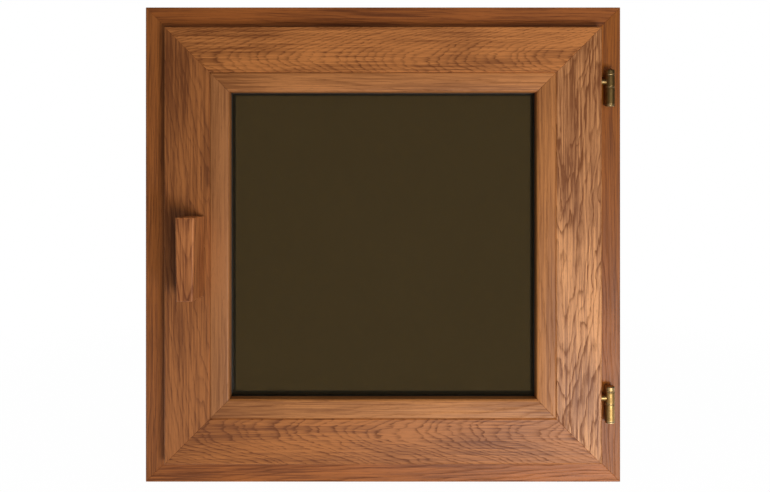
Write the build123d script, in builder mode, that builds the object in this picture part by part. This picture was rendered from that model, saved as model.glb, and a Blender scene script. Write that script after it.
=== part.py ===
# A timber casement window: a mitred frame, a lipped sash with a sealed double-glazed unit, two screw-in
# barrel hinges and a wooden turn handle on a mortised catch. Millimetres.
# X runs along the window, -Y is the room side, Z is up. The origin is the middle of the sill's bottom
# face. An inset is a distance in from the frame's outline, the same on all four sides.

import os
from math import hypot, sqrt

from build123d import *

os.makedirs("parts", exist_ok=True)

# ---- frame ----
frame_width = 500.0
frame_height = 500.0
frame_depth = 70.0
land_width = 33.0  # outline to the side of the rebate
stop_projection = 15.0  # the stop stands in past the land
stop_depth = 31.5
frame_edge_round = 1.2
fixing_end_distances = {"left": 90.0, "right": 120.0}  # fixing holes from the ends of each jamb
fixing_setback = 25.0  # fixing holes from the frame's front
fixing_radius = 3.25
fixing_head_radius = 6.5
fixing_head_depth = 7.0

# ---- sash ----
sash_thickness = 50.0
sash_clearance = 4.0  # sash edge to land
lip_overlap = 10.0  # lip over the front of the frame
lip_gap = 0.5
seal_gap = 3.5  # sash back to the stop
sash_face_width = 47.5  # lip edge to bead
back_leg_thickness = 11.0
sash_edge_round = 1.8
joint_chamfer = 0.8

# ---- glazing ----
pane_thickness = 4.0
pane_gap = 12.0
pane_edge_clearance = 5.0
spacer_width = 7.0
edge_seal_depth = 4.0
gasket_thickness = 2.0
gasket_show = 2.0  # gasket seen past the bead
bead_width = 20.0
bead_slope = 1.6  # fall of the bead's face towards the glass
bead_flat = 8.5  # level part of the bead's face
bead_nose_radius = 3.0
bead_clearance = 0.15
block_length = 60.0
block_end_distance = 79.5  # packers from the corners of the glazing rebate

# ---- joinery ----
dowel_radius = 4.0
dowel_length = 28.0
frame_dowel_setback = 15.0  # from the frame's front and back
sash_dowel_front = 12.0  # from the sash's front
sash_dowel_back = 14.0
wood_fit = 0.05  # radial clearance of dowels, studs, pins and screws in wood
pin_radius = 0.8
bead_pin_length = 24.0
bead_pin_grip = 10.0  # length of the pin in the sash
bead_pin_end_distance = 44.5  # outermost pins from the corners of the glazing rebate

# ---- weatherseal ----
seal_land_gap = 3.0
seal_width = 9.0
seal_nose_width = 3.6
seal_squeeze_clearance = 0.3

# ---- hinges ----
hinge_end_distances = {"upper": 86.0, "lower": 84.0}  # splits from the frame's top and bottom
hinge_axis_out = 9.8  # axis past the lip's edge
barrel_radius = 5.0
barrel_half_length = 19.5
top_cap_length = 6.5
end_cap_length = 2.0
cap_spigot_length = 3.0
hinge_pin_radius = 2.5
hinge_pin_reach = 12.0  # pin above and below the split
hinge_running_fit = 0.05
washer_thickness = 1.0
knuckle_gap = 0.1
stud_radius = 3.0
stud_depth = 30.0  # stud in the wood
stud_offset = 6.8  # studs above and below the split
barrel_chamfer = 0.4
cap_round = 1.25

# ---- catch ----
spindle_backset = 17.0  # sash edge to the spindle
tongue_setback = 18.0  # sash back to the middle of the tongue
tongue_thickness = 4.0
tongue_width = 10.0
tongue_radius = 29.0
hub_radius = 9.0
journal_radius = 7.0
bearing_fit = 0.05
case_thickness = 9.0
cheek_thickness = 1.5
case_wall = 1.5
hub_gap = 1.0
tongue_sweep_gap = 2.0  # under the tongue's tip in the case
mortise_clearance = 0.2
edge_plate_thickness = 2.0
edge_plate_width = 14.0
edge_plate_ear = 12.0  # plate past the case at each end
slot_play = 1.2  # slot past the tongue's path
keep_plate_thickness = 2.0
keep_plate_ear = 13.0  # plate past the slot at each end
tongue_side_gap = 1.0
tongue_end_gap = 2.0
screw_radius = 1.75
screw_head_radius = 3.5
screw_head_depth = 1.9
screw_length = 16.0
screw_point_length = 2.0
screw_inset = 6.0

# ---- handle ----
grip_top_reach = 31.0  # grip above the spindle
grip_length = 83.4
grip_base_width = 23.5
grip_front_width = 19.5
grip_cove = 1.3
grip_depth = 41.5
grip_gap = 1.5  # grip back to the sash
grip_side_round = 2.4
grip_end_round = 1.2
spindle_width = 7.0
spindle_fit = 0.05
spindle_grip_depth = 25.0
collar_radius = 7.0
collar_grip_depth = 5.0
bush_radius = 9.0
bush_length = 6.0
bush_flange_radius = 11.0
bush_flange = 1.2
spindle_bore_radius = 6.0
grub_radius = 2.0
grub_setback = 10.5  # from the grip's back
grub_recess = 0.6

# ---- places worked out from the sizes ----
front_y = -frame_depth / 2
back_y = frame_depth / 2
rebate_y = back_y - stop_depth
sash_back_y = rebate_y - seal_gap
sash_front_y = sash_back_y - sash_thickness
lip_back_y = front_y - lip_gap
centre_z = frame_height / 2

lip_inset = land_width - lip_overlap
sash_edge_inset = land_width + sash_clearance
joint_inset = lip_inset + sash_face_width
sight_inset = joint_inset + bead_width
glass_inset = joint_inset + pane_edge_clearance

glass_rebate_y = sash_back_y - back_leg_thickness
outer_pane_y = glass_rebate_y - gasket_thickness  # its outdoor face
spacer_y = outer_pane_y - pane_thickness
room_pane_y = spacer_y - pane_gap
room_pane_front_y = room_pane_y - pane_thickness
bead_back_y = room_pane_front_y - gasket_thickness
bead_pin_y = (sash_front_y + bead_back_y) / 2

hinge_x = frame_width / 2 - lip_inset + hinge_axis_out
hinge_y = (sash_front_y + lip_back_y) / 2
hinge_splits = {
    "upper": frame_height - hinge_end_distances["upper"],
    "lower": hinge_end_distances["lower"],
}

sash_edge_x = -(frame_width / 2 - sash_edge_inset)
land_x = -(frame_width / 2 - land_width)
latch_x = sash_edge_x + spindle_backset
latch_y = sash_back_y - tongue_setback
latch_z = centre_z

case_front_x = sash_edge_x + edge_plate_thickness
case_back_x = latch_x + hub_radius + hub_gap + case_wall
tongue_sweep = hypot(tongue_radius, tongue_width / 2)
case_bottom = latch_z - tongue_sweep - tongue_sweep_gap - case_wall
case_top = latch_z + hub_radius + hub_gap + case_wall
hub_length = case_thickness - 2 * mortise_clearance

# the tongue's lowest corner crosses the edge plate's inner face here as it swings out
slot_bottom = latch_z - sqrt(tongue_sweep**2 - (latch_x - case_front_x) ** 2) - slot_play
slot_top = latch_z + tongue_width / 2 + slot_play
edge_plate_bottom = case_bottom - edge_plate_ear
edge_plate_top = case_top + edge_plate_ear

keep_slot_top = slot_top + slot_play
keep_back_x = latch_x - tongue_radius - tongue_end_gap
keep_bottom = slot_bottom - keep_plate_ear
keep_top = keep_slot_top + keep_plate_ear

grip_back_y = sash_front_y - grip_gap
grip_front_y = grip_back_y - grip_depth
grip_bottom_z = latch_z + grip_top_reach - grip_length
grub_y = grip_back_y - grub_setback

fixing_y = front_y + fixing_setback
edge_screw_heights = [edge_plate_bottom + screw_inset, edge_plate_top - screw_inset]
keep_screw_heights = [keep_bottom + screw_inset, keep_top - screw_inset]


def save(piece, name):
    """Labels a finished piece and writes its STEP file."""
    piece.part.label = name
    export_step(piece.part, f"parts/{name}.step")


def room_plane(y):
    """A plane at this depth that faces the room: its X is the window's X and its Y is the window's Z."""
    return Plane(origin=(0, y, 0), x_dir=(1, 0, 0), z_dir=(0, -1, 0))


def side_plane(side, inset):
    """The section plane of one side of a ring: X runs inward from the inset, Y runs outdoors."""
    half_width = frame_width / 2 - inset
    half_height = frame_height / 2 - inset
    origin, inward = {
        "top": ((0, 0, centre_z + half_height), Vector(0, 0, -1)),
        "bottom": ((0, 0, centre_z - half_height), Vector(0, 0, 1)),
        "left": ((-half_width, 0, centre_z), Vector(1, 0, 0)),
        "right": ((half_width, 0, centre_z), Vector(-1, 0, 0)),
    }[side]
    return Plane(origin=origin, x_dir=inward, z_dir=inward.cross(Vector(0, 1, 0)))


def half_length(side, inset):
    """Half the outer length of one side of a ring."""
    return (frame_width if side in ("top", "bottom") else frame_height) / 2 - inset


def mitred_bar(side, inset, section):
    """Extrudes a section along one side of a ring and mitres both ends, in the part being built."""
    plane = side_plane(side, inset)
    reach = half_length(side, inset)
    extrude(section(plane), amount=reach, both=True)
    for end in (-1, 1):
        corner = plane.from_local_coords((0, 0, end * reach))
        split(bisect_by=Plane(origin=corner, z_dir=plane.x_dir + plane.z_dir * end), keep=Keep.BOTTOM)


def inset_rectangle(inset, mode=Mode.ADD):
    """A rectangle that follows the frame's outline, for a sketch on a room plane."""
    with Locations((0, centre_z)):
        Rectangle(frame_width - 2 * inset, frame_height - 2 * inset, mode=mode)


def box_between(x_low, x_high, y_low, y_high, z_low, z_high, mode=Mode.ADD):
    """A box between six planes, in the part being built."""
    with BuildSketch(room_plane(y_high)) as outline:
        with Locations(((x_low + x_high) / 2, (z_low + z_high) / 2)):
            Rectangle(x_high - x_low, z_high - z_low)
    extrude(outline.sketch, amount=y_high - y_low, mode=mode)


def rod(start, direction, radius, length, mode=Mode.ADD):
    """A round rod or bore from a point, in the part being built."""
    with BuildSketch(Plane(origin=start, z_dir=direction)) as disc:
        Circle(radius)
    extrude(disc.sketch, amount=length, mode=mode)


def countersunk_screw(start, direction, fit=0.0, mode=Mode.ADD):
    """A countersunk wood screw, or its hole with a fit, from the middle of its head's top."""
    axis = Vector(direction)
    with BuildSketch(Plane(origin=start, x_dir=(0, 0, 1), z_dir=axis.cross(Vector(0, 0, 1)) * -1)) as half:
        with BuildLine():
            Polyline(
                (0, 0),
                (screw_head_radius + fit, 0),
                (screw_radius + fit, screw_head_depth),
                (screw_radius + fit, screw_length - screw_point_length),
                (0, screw_length + fit),
                close=True,
            )
        make_face()
    revolve(half.sketch, axis=Axis(start, direction), mode=mode)


def dowel_planes(inset, depths):
    """Planes in the four corner mitres, one at each depth, with Z along the dowel."""
    half_width = frame_width / 2 - inset
    half_height = frame_height / 2 - inset
    return [
        Plane(origin=(x * half_width, y, centre_z + z * half_height), z_dir=(x, 0, -z))
        for x in (-1, 1)
        for z in (-1, 1)
        for y in depths
    ]


def corner_dowels(planes, fit=0.0, mode=Mode.ADD):
    """The dowels of all four corners, or their holes with a fit."""
    with BuildSketch(*planes) as ends:
        Circle(dowel_radius + fit)
    extrude(ends.sketch, amount=dowel_length / 2 + 2 * fit, both=True, mode=mode)


def bead_pin_rods(fit=0.0, mode=Mode.ADD):
    """The headless pins that hold the four beads, or their holes with a fit."""
    for side in ("top", "bottom", "left", "right"):
        plane = side_plane(side, joint_inset)
        outermost = half_length(side, joint_inset) - bead_pin_end_distance
        for place in (-outermost, -outermost / 3, outermost / 3, outermost):
            start = plane.from_local_coords((-bead_pin_grip - fit, bead_pin_y, place))
            rod(start, plane.x_dir, pin_radius + fit, bead_pin_length - bead_pin_grip + fit * 2, mode)


def frame_section(plane):
    stop_width = land_width + stop_projection
    with BuildSketch(plane) as section:
        with BuildLine():
            Polyline(
                (0, front_y),
                (land_width, front_y),
                (land_width, rebate_y),
                (stop_width, rebate_y),
                (stop_width, back_y),
                (0, back_y),
                close=True,
            )
        make_face()
        fillet(vertices().group_by(Axis.Y)[0] + vertices().group_by(Axis.Y)[-1], radius=frame_edge_round)
    return section.sketch


def sash_section(plane):
    edge_step = sash_edge_inset - lip_inset
    sight_width = sight_inset - lip_inset
    with BuildSketch(plane) as section:
        with BuildLine():
            Polyline(
                (0, sash_front_y),
                (sash_face_width, sash_front_y),
                (sash_face_width, glass_rebate_y),
                (sight_width, glass_rebate_y),
                (sight_width, sash_back_y),
                (edge_step, sash_back_y),
                (edge_step, lip_back_y),
                (0, lip_back_y),
                close=True,
            )
        make_face()
        fillet(vertices().group_by(Axis.Y)[0].sort_by(Axis.X)[0], radius=sash_edge_round)
        chamfer(vertices().group_by(Axis.Y)[0].sort_by(Axis.X)[-1], length=joint_chamfer)
    return section.sketch


def bead_section(plane):
    nose_y = sash_front_y + bead_slope
    with BuildSketch(plane) as section:
        with BuildLine():
            FilletPolyline(
                (bead_clearance, bead_back_y),
                (bead_clearance, sash_front_y + joint_chamfer),
                (bead_clearance + joint_chamfer, sash_front_y),
                (bead_flat, sash_front_y),
                (bead_width, nose_y),
                (bead_width, bead_back_y),
                radius=(0, 0, 0, 0, bead_nose_radius, 0),
                close=True,
            )
        make_face()
    return section.sketch


def seal_section(plane):
    nose_y = rebate_y - seal_gap + seal_squeeze_clearance
    with BuildSketch(plane) as section:
        with BuildLine():
            Polyline(
                (0, rebate_y),
                (seal_width, rebate_y),
                ((seal_width + seal_nose_width) / 2, nose_y),
                ((seal_width - seal_nose_width) / 2, nose_y),
                close=True,
            )
        make_face()
    return section.sketch


def hinge_stud_place(body, split_z):
    """Where a stud leaves the barrel's axis, and its direction."""
    if body == "sash":
        return Vector(hinge_x, hinge_y, split_z + stud_offset), Vector(-1, 0, 0)
    return Vector(hinge_x, hinge_y, split_z - stud_offset), Vector(0, 1, 0)


def stud_length(body):
    """From the barrel's axis to the stud's tip."""
    return (hinge_axis_out if body == "sash" else front_y - hinge_y) + stud_depth


def stud_holes(body):
    """The holes in the wood for one body's two hinge studs."""
    for split_z in hinge_splits.values():
        start, direction = hinge_stud_place(body, split_z)
        rod(start, direction, stud_radius + wood_fit, stud_length(body) + wood_fit, Mode.SUBTRACT)


frame_dowels = dowel_planes(land_width / 2, (front_y + frame_dowel_setback, back_y - frame_dowel_setback))
sash_dowels = dowel_planes(
    (sash_edge_inset + joint_inset) / 2,
    (sash_front_y + sash_dowel_front, sash_back_y - sash_dowel_back),
)

# ---- frame members ----
frame_members = {
    "top": "frame_head",
    "bottom": "frame_sill",
    "right": "frame_hinge_jamb",
    "left": "frame_latch_jamb",
}
for side, name in frame_members.items():
    with BuildPart() as member:
        mitred_bar(side, 0, frame_section)
        corner_dowels(frame_dowels, wood_fit, Mode.SUBTRACT)
        if side in ("left", "right"):
            jamb = side_plane(side, land_width)
            ends = fixing_end_distances[side]
            heads = [
                Plane(origin=(jamb.origin.X, fixing_y, z), z_dir=jamb.x_dir) for z in (ends, frame_height - ends)
            ]
            with Locations(*heads):
                CounterBoreHole(fixing_radius, fixing_head_radius, fixing_head_depth, depth=land_width)
        if side == "right":
            stud_holes("frame")
        if side == "left":
            tongue_gap_y = tongue_thickness / 2 + tongue_side_gap
            box_between(
                land_x - keep_plate_thickness,
                land_x,
                latch_y - edge_plate_width / 2,
                latch_y + edge_plate_width / 2,
                keep_bottom,
                keep_top,
                Mode.SUBTRACT,
            )
            box_between(
                keep_back_x,
                land_x,
                latch_y - tongue_gap_y - mortise_clearance,
                latch_y + tongue_gap_y + mortise_clearance,
                slot_bottom - mortise_clearance,
                keep_slot_top + mortise_clearance,
                Mode.SUBTRACT,
            )
            for z in keep_screw_heights:
                countersunk_screw((land_x, latch_y, z), (-1, 0, 0), wood_fit, Mode.SUBTRACT)
    save(member, name)

with BuildPart() as frame_corner_dowels:
    corner_dowels(frame_dowels)
save(frame_corner_dowels, "frame_corner_dowels")

for side in ("top", "bottom", "left", "right"):
    with BuildPart() as strip:
        mitred_bar(side, land_width + seal_land_gap, seal_section)
    save(strip, f"frame_seal_{side}")

# ---- keep ----
with BuildPart() as keep_plate:
    box_between(
        land_x - keep_plate_thickness,
        land_x,
        latch_y - edge_plate_width / 2,
        latch_y + edge_plate_width / 2,
        keep_bottom,
        keep_top,
    )
    box_between(
        land_x - keep_plate_thickness,
        land_x,
        latch_y - tongue_thickness / 2 - tongue_side_gap,
        latch_y + tongue_thickness / 2 + tongue_side_gap,
        slot_bottom,
        keep_slot_top,
        Mode.SUBTRACT,
    )
    for z in keep_screw_heights:
        countersunk_screw((land_x, latch_y, z), (-1, 0, 0), wood_fit, Mode.SUBTRACT)
save(keep_plate, "keep_plate")

with BuildPart() as keep_screws:
    for z in keep_screw_heights:
        countersunk_screw((land_x, latch_y, z), (-1, 0, 0))
save(keep_screws, "keep_screws")

# ---- hinges ----
pin_bore_radius = hinge_pin_radius + hinge_running_fit
barrel_centre = (hinge_x, hinge_y)

for level, split_z in hinge_splits.items():
    frame_knuckle_bottom = split_z - barrel_half_length + end_cap_length
    sash_knuckle_bottom = split_z + washer_thickness + knuckle_gap
    sash_knuckle_top = split_z + barrel_half_length - top_cap_length
    pin_bottom = split_z - hinge_pin_reach
    pin_top = split_z + hinge_pin_reach - cap_spigot_length

    with BuildPart() as frame_knuckle:
        rod((*barrel_centre, frame_knuckle_bottom), (0, 0, 1), barrel_radius, split_z - frame_knuckle_bottom)
        start, direction = hinge_stud_place("frame", split_z)
        rod(start, direction, stud_radius, stud_length("frame"))
        rod((*barrel_centre, frame_knuckle_bottom), (0, 0, 1), pin_bore_radius, barrel_half_length, Mode.SUBTRACT)
    save(frame_knuckle, f"{level}_hinge_frame_knuckle")

    with BuildPart() as sash_knuckle:
        rod((*barrel_centre, sash_knuckle_bottom), (0, 0, 1), barrel_radius, sash_knuckle_top - sash_knuckle_bottom)
        start, direction = hinge_stud_place("sash", split_z)
        rod(start, direction, stud_radius, stud_length("sash"))
        rod((*barrel_centre, sash_knuckle_bottom), (0, 0, 1), pin_bore_radius, barrel_half_length, Mode.SUBTRACT)
    save(sash_knuckle, f"{level}_hinge_sash_knuckle")

    with BuildPart() as hinge_pin:
        rod((*barrel_centre, pin_bottom), (0, 0, 1), hinge_pin_radius, pin_top - pin_bottom)
        chamfer(edges().group_by(Axis.Z)[-1], length=barrel_chamfer)
    save(hinge_pin, f"{level}_hinge_pin")

    with BuildPart() as washer:
        with BuildSketch(Plane.XY.offset(split_z)):
            with Locations(barrel_centre):
                Circle(barrel_radius)
                Circle(pin_bore_radius, mode=Mode.SUBTRACT)
        extrude(amount=washer_thickness)
    save(washer, f"{level}_hinge_washer")

    with BuildPart() as top_cap:
        rod((*barrel_centre, sash_knuckle_top), (0, 0, 1), barrel_radius, top_cap_length)
        chamfer(edges().group_by(Axis.Z)[0], length=barrel_chamfer)
        fillet(edges().group_by(Axis.Z)[-1], radius=cap_round)
        rod((*barrel_centre, sash_knuckle_top), (0, 0, -1), hinge_pin_radius, cap_spigot_length)
    save(top_cap, f"{level}_hinge_top_cap")

    with BuildPart() as end_cap:
        rod((*barrel_centre, frame_knuckle_bottom), (0, 0, -1), barrel_radius, end_cap_length)
        chamfer(edges().group_by(Axis.Z)[0], length=barrel_chamfer)
        rod((*barrel_centre, frame_knuckle_bottom), (0, 0, 1), hinge_pin_radius, cap_spigot_length)
    save(end_cap, f"{level}_hinge_end_cap")

# ---- sash members ----
mortise_y = case_thickness / 2 + mortise_clearance
sash_members = {
    "top": "sash_top_rail",
    "bottom": "sash_bottom_rail",
    "right": "sash_hinge_stile",
    "left": "sash_latch_stile",
}
for side, name in sash_members.items():
    with BuildPart() as member:
        mitred_bar(side, lip_inset, sash_section)
        corner_dowels(sash_dowels, wood_fit, Mode.SUBTRACT)
        bead_pin_rods(wood_fit, Mode.SUBTRACT)
        if side == "right":
            stud_holes("sash")
        if side == "left":
            box_between(
                sash_edge_x,
                case_front_x,
                latch_y - edge_plate_width / 2,
                latch_y + edge_plate_width / 2,
                edge_plate_bottom,
                edge_plate_top,
                Mode.SUBTRACT,
            )
            box_between(
                sash_edge_x,
                case_back_x + mortise_clearance,
                latch_y - mortise_y,
                latch_y + mortise_y,
                case_bottom - mortise_clearance,
                case_top + mortise_clearance,
                Mode.SUBTRACT,
            )
            bore_start = (latch_x, sash_front_y, latch_z)
            rod(bore_start, (0, 1, 0), bush_radius + wood_fit, bush_length, Mode.SUBTRACT)
            rod(bore_start, (0, 1, 0), spindle_bore_radius, latch_y - sash_front_y, Mode.SUBTRACT)
            for z in edge_screw_heights:
                countersunk_screw((sash_edge_x, latch_y, z), (1, 0, 0), wood_fit, Mode.SUBTRACT)
    save(member, name)

with BuildPart() as sash_corner_dowels:
    corner_dowels(sash_dowels)
save(sash_corner_dowels, "sash_corner_dowels")

# ---- beads ----
bead_names = {
    "top": "bead_top",
    "bottom": "bead_bottom",
    "right": "bead_hinge_side",
    "left": "bead_latch_side",
}
for side, name in bead_names.items():
    with BuildPart() as bead:
        mitred_bar(side, joint_inset, bead_section)
        bead_pin_rods(wood_fit, Mode.SUBTRACT)
    save(bead, name)

with BuildPart() as bead_pins:
    bead_pin_rods()
save(bead_pins, "bead_pins")

# ---- sealed glass unit ----
for name, outdoor_face in {"room_pane": room_pane_y, "outer_pane": outer_pane_y}.items():
    with BuildPart() as pane:
        with BuildSketch(room_plane(outdoor_face)):
            inset_rectangle(glass_inset)
        extrude(amount=pane_thickness)
    save(pane, name)

with BuildPart() as pane_spacer:
    with BuildSketch(room_plane(spacer_y)):
        inset_rectangle(glass_inset + edge_seal_depth)
        inset_rectangle(glass_inset + edge_seal_depth + spacer_width, Mode.SUBTRACT)
    extrude(amount=pane_gap)
save(pane_spacer, "pane_spacer")

with BuildPart() as pane_edge_seal:
    with BuildSketch(room_plane(spacer_y)):
        inset_rectangle(glass_inset)
        inset_rectangle(glass_inset + edge_seal_depth, Mode.SUBTRACT)
    extrude(amount=pane_gap)
save(pane_edge_seal, "pane_edge_seal")

for name, outdoor_face in {"room_gasket": room_pane_front_y, "outer_gasket": glass_rebate_y}.items():
    with BuildPart() as gasket:
        with BuildSketch(room_plane(outdoor_face)):
            inset_rectangle(joint_inset + bead_clearance)
            inset_rectangle(sight_inset + gasket_show, Mode.SUBTRACT)
        extrude(amount=gasket_thickness)
    save(gasket, name)

with BuildPart() as setting_blocks:
    for side in ("bottom", "left", "right"):
        plane = side_plane(side, joint_inset)
        place = half_length(side, joint_inset) - block_end_distance
        for end in (-1, 1):
            centre = plane.from_local_coords((pane_edge_clearance / 2, 0, end * place))
            along_x = block_length if side == "bottom" else pane_edge_clearance
            along_z = pane_edge_clearance if side == "bottom" else block_length
            box_between(
                centre.X - along_x / 2,
                centre.X + along_x / 2,
                room_pane_front_y,
                outer_pane_y,
                centre.Z - along_z / 2,
                centre.Z + along_z / 2,
            )
save(setting_blocks, "setting_blocks")

# ---- catch in the sash ----
case_y = case_thickness / 2
cavity_y = case_y - cheek_thickness
with BuildPart() as latch_case:
    box_between(case_front_x, case_back_x, latch_y - case_y, latch_y + case_y, case_bottom, case_top)
    box_between(
        case_front_x,
        case_back_x - case_wall,
        latch_y - cavity_y,
        latch_y + cavity_y,
        case_bottom + case_wall,
        case_top - case_wall,
        Mode.SUBTRACT,
    )
    rod(
        (latch_x, latch_y - case_y, latch_z),
        (0, 1, 0),
        journal_radius + bearing_fit,
        case_thickness,
        Mode.SUBTRACT,
    )
save(latch_case, "latch_case")

with BuildPart() as latch_edge_plate:
    box_between(
        sash_edge_x,
        case_front_x,
        latch_y - edge_plate_width / 2,
        latch_y + edge_plate_width / 2,
        edge_plate_bottom,
        edge_plate_top,
    )
    box_between(
        sash_edge_x,
        case_front_x,
        latch_y - cavity_y,
        latch_y + cavity_y,
        slot_bottom,
        slot_top,
        Mode.SUBTRACT,
    )
    for z in edge_screw_heights:
        countersunk_screw((sash_edge_x, latch_y, z), (1, 0, 0), wood_fit, Mode.SUBTRACT)
save(latch_edge_plate, "latch_edge_plate")

with BuildPart() as latch_screws:
    for z in edge_screw_heights:
        countersunk_screw((sash_edge_x, latch_y, z), (1, 0, 0))
save(latch_screws, "latch_screws")

with BuildPart() as handle_bush:
    rod((latch_x, sash_front_y, latch_z), (0, 1, 0), bush_radius, bush_length)
    rod((latch_x, sash_front_y, latch_z), (0, -1, 0), bush_flange_radius, bush_flange)
    rod(
        (latch_x, sash_front_y - bush_flange, latch_z),
        (0, 1, 0),
        collar_radius + bearing_fit,
        bush_flange + bush_length,
        Mode.SUBTRACT,
    )
save(handle_bush, "handle_bush")

# ---- handle and tongue ----
spindle_back_y = latch_y + hub_length / 2
spindle_front_y = grip_back_y - spindle_grip_depth
socket_width = spindle_width + 2 * spindle_fit


def square_socket(y_low, y_high):
    """The square hole for the spindle, cut from the part being built."""
    half = socket_width / 2
    box_between(
        latch_x - half, latch_x + half, y_low, y_high, latch_z - half, latch_z + half, Mode.SUBTRACT
    )


with BuildPart() as handle_grip:
    with BuildSketch(Plane.XY.offset(grip_bottom_z)):
        mid_y = (grip_back_y + grip_front_y) / 2
        mid_half = (grip_base_width + grip_front_width) / 4 - grip_cove
        with BuildLine():
            Line((latch_x - grip_front_width / 2, grip_front_y), (latch_x + grip_front_width / 2, grip_front_y))
            ThreePointArc(
                (latch_x + grip_front_width / 2, grip_front_y),
                (latch_x + mid_half, mid_y),
                (latch_x + grip_base_width / 2, grip_back_y),
            )
            Line((latch_x + grip_base_width / 2, grip_back_y), (latch_x - grip_base_width / 2, grip_back_y))
            ThreePointArc(
                (latch_x - grip_base_width / 2, grip_back_y),
                (latch_x - mid_half, mid_y),
                (latch_x - grip_front_width / 2, grip_front_y),
            )
        make_face()
        fillet(vertices().group_by(Axis.Y)[0], radius=grip_side_round)
    extrude(amount=grip_length)
    chamfer(edges().group_by(Axis.Z)[0] + edges().group_by(Axis.Z)[-1], length=grip_end_round)
    rod((latch_x, grip_back_y, latch_z), (0, -1, 0), collar_radius + wood_fit, collar_grip_depth, Mode.SUBTRACT)
    square_socket(spindle_front_y - spindle_fit, grip_back_y)
    rod((latch_x, grub_y, latch_z), (-1, 0, 0), grub_radius + wood_fit, grip_base_width, Mode.SUBTRACT)
save(handle_grip, "handle_grip")

with BuildPart() as handle_spindle:
    half_spindle = spindle_width / 2
    box_between(
        latch_x - half_spindle,
        latch_x + half_spindle,
        spindle_front_y,
        spindle_back_y,
        latch_z - half_spindle,
        latch_z + half_spindle,
    )
save(handle_spindle, "handle_spindle")

with BuildPart() as handle_collar:
    rod(
        (latch_x, grip_back_y - collar_grip_depth, latch_z),
        (0, 1, 0),
        collar_radius,
        collar_grip_depth + grip_gap + bush_length,
    )
    square_socket(grip_back_y - collar_grip_depth, sash_front_y + bush_length)
save(handle_collar, "handle_collar")

with BuildPart() as handle_grub_screw:
    grub_start = latch_x - spindle_width / 2
    grub_length = grip_front_width / 2 - grip_cove / 2 - spindle_width / 2 - grub_recess
    rod((grub_start, grub_y, latch_z), (-1, 0, 0), grub_radius, grub_length)
save(handle_grub_screw, "handle_grub_screw")

with BuildPart() as latch_tongue:
    rod((latch_x, latch_y - tongue_thickness / 2, latch_z), (0, 1, 0), hub_radius, tongue_thickness)
    box_between(
        latch_x - tongue_width / 2,
        latch_x + tongue_width / 2,
        latch_y - tongue_thickness / 2,
        latch_y + tongue_thickness / 2,
        latch_z - tongue_radius,
        latch_z,
    )
    rod((latch_x, latch_y - hub_length / 2, latch_z), (0, 1, 0), journal_radius, hub_length)
    square_socket(latch_y - hub_length / 2, latch_y + hub_length / 2)
save(latch_tongue, "latch_tongue")
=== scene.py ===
from math import atan, ceil, cos, pi, radians, sin, sqrt, tau

import bmesh
import bpy
from mathutils import Matrix, Vector


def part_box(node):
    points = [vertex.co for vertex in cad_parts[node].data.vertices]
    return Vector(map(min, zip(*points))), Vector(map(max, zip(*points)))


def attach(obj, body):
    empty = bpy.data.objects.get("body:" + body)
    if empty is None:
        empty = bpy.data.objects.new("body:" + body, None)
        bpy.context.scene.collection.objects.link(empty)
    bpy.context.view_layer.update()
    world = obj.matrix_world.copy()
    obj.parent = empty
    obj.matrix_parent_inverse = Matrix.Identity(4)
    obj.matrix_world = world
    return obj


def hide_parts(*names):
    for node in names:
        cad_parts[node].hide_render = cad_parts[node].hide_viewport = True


# A timber casement window dressed for the shop: planks, beads, sealed glass, barrel hinges, catch and handle.
# Shapes are written in millimetres in the CAD frame and turned into metres when a mesh is made.

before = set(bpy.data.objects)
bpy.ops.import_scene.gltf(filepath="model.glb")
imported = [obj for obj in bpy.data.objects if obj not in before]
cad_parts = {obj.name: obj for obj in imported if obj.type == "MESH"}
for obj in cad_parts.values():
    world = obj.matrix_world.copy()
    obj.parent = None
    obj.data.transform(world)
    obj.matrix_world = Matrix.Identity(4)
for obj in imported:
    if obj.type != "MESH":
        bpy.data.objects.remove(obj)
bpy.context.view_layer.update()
print("frame loaded:", len(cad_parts), "CAD nodes")

mm = 0.001
windowWidth = 500.0
windowHeight = 500.0
middleZ = windowHeight / 2
frontY = -35.0
backY = 35.0
overshoot = 1.0  # how far a cutter stands past the face that it opens


def nodeBox(name):
    # a CAD node's corners in millimetres
    low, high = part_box(name)
    return low / mm, high / mm


def roundedOutline(corners, steps=4):
    # corners are (x, y, radius); gives (x, y, worn), where worn is 1 in the middle of a rounded edge
    outline = []
    count = len(corners)
    for index, (x, y, radius) in enumerate(corners):
        here = Vector((x, y))
        before = Vector(corners[index - 1][:2]) - here
        after = Vector(corners[(index + 1) % count][:2]) - here
        before.normalize()
        after.normalize()
        opening = before.angle(after)
        if radius <= 0 or opening > pi - 0.02:  # a sharp corner, or as good as straight
            outline.append((x, y, 0.0))
            continue
        reach = radius / sin(opening / 2)
        centre = here + (before + after).normalized() * reach
        setBack = radius * cos(opening / 2) / sin(opening / 2)
        start = here + before * setBack - centre
        last = here + after * setBack - centre
        turn = start.angle_signed(last)
        for step in range(steps + 1):
            share = step / steps
            spoke = Matrix.Rotation(-turn * share, 2) @ start
            outline.append((centre.x + spoke.x, centre.y + spoke.y, sin(pi * share)))
    return outline


def signedArea(outline):
    total = 0.0
    for index, point in enumerate(outline):
        previous = outline[index - 1]
        total += previous[0] * point[1] - point[0] * previous[1]
    return total / 2


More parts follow.
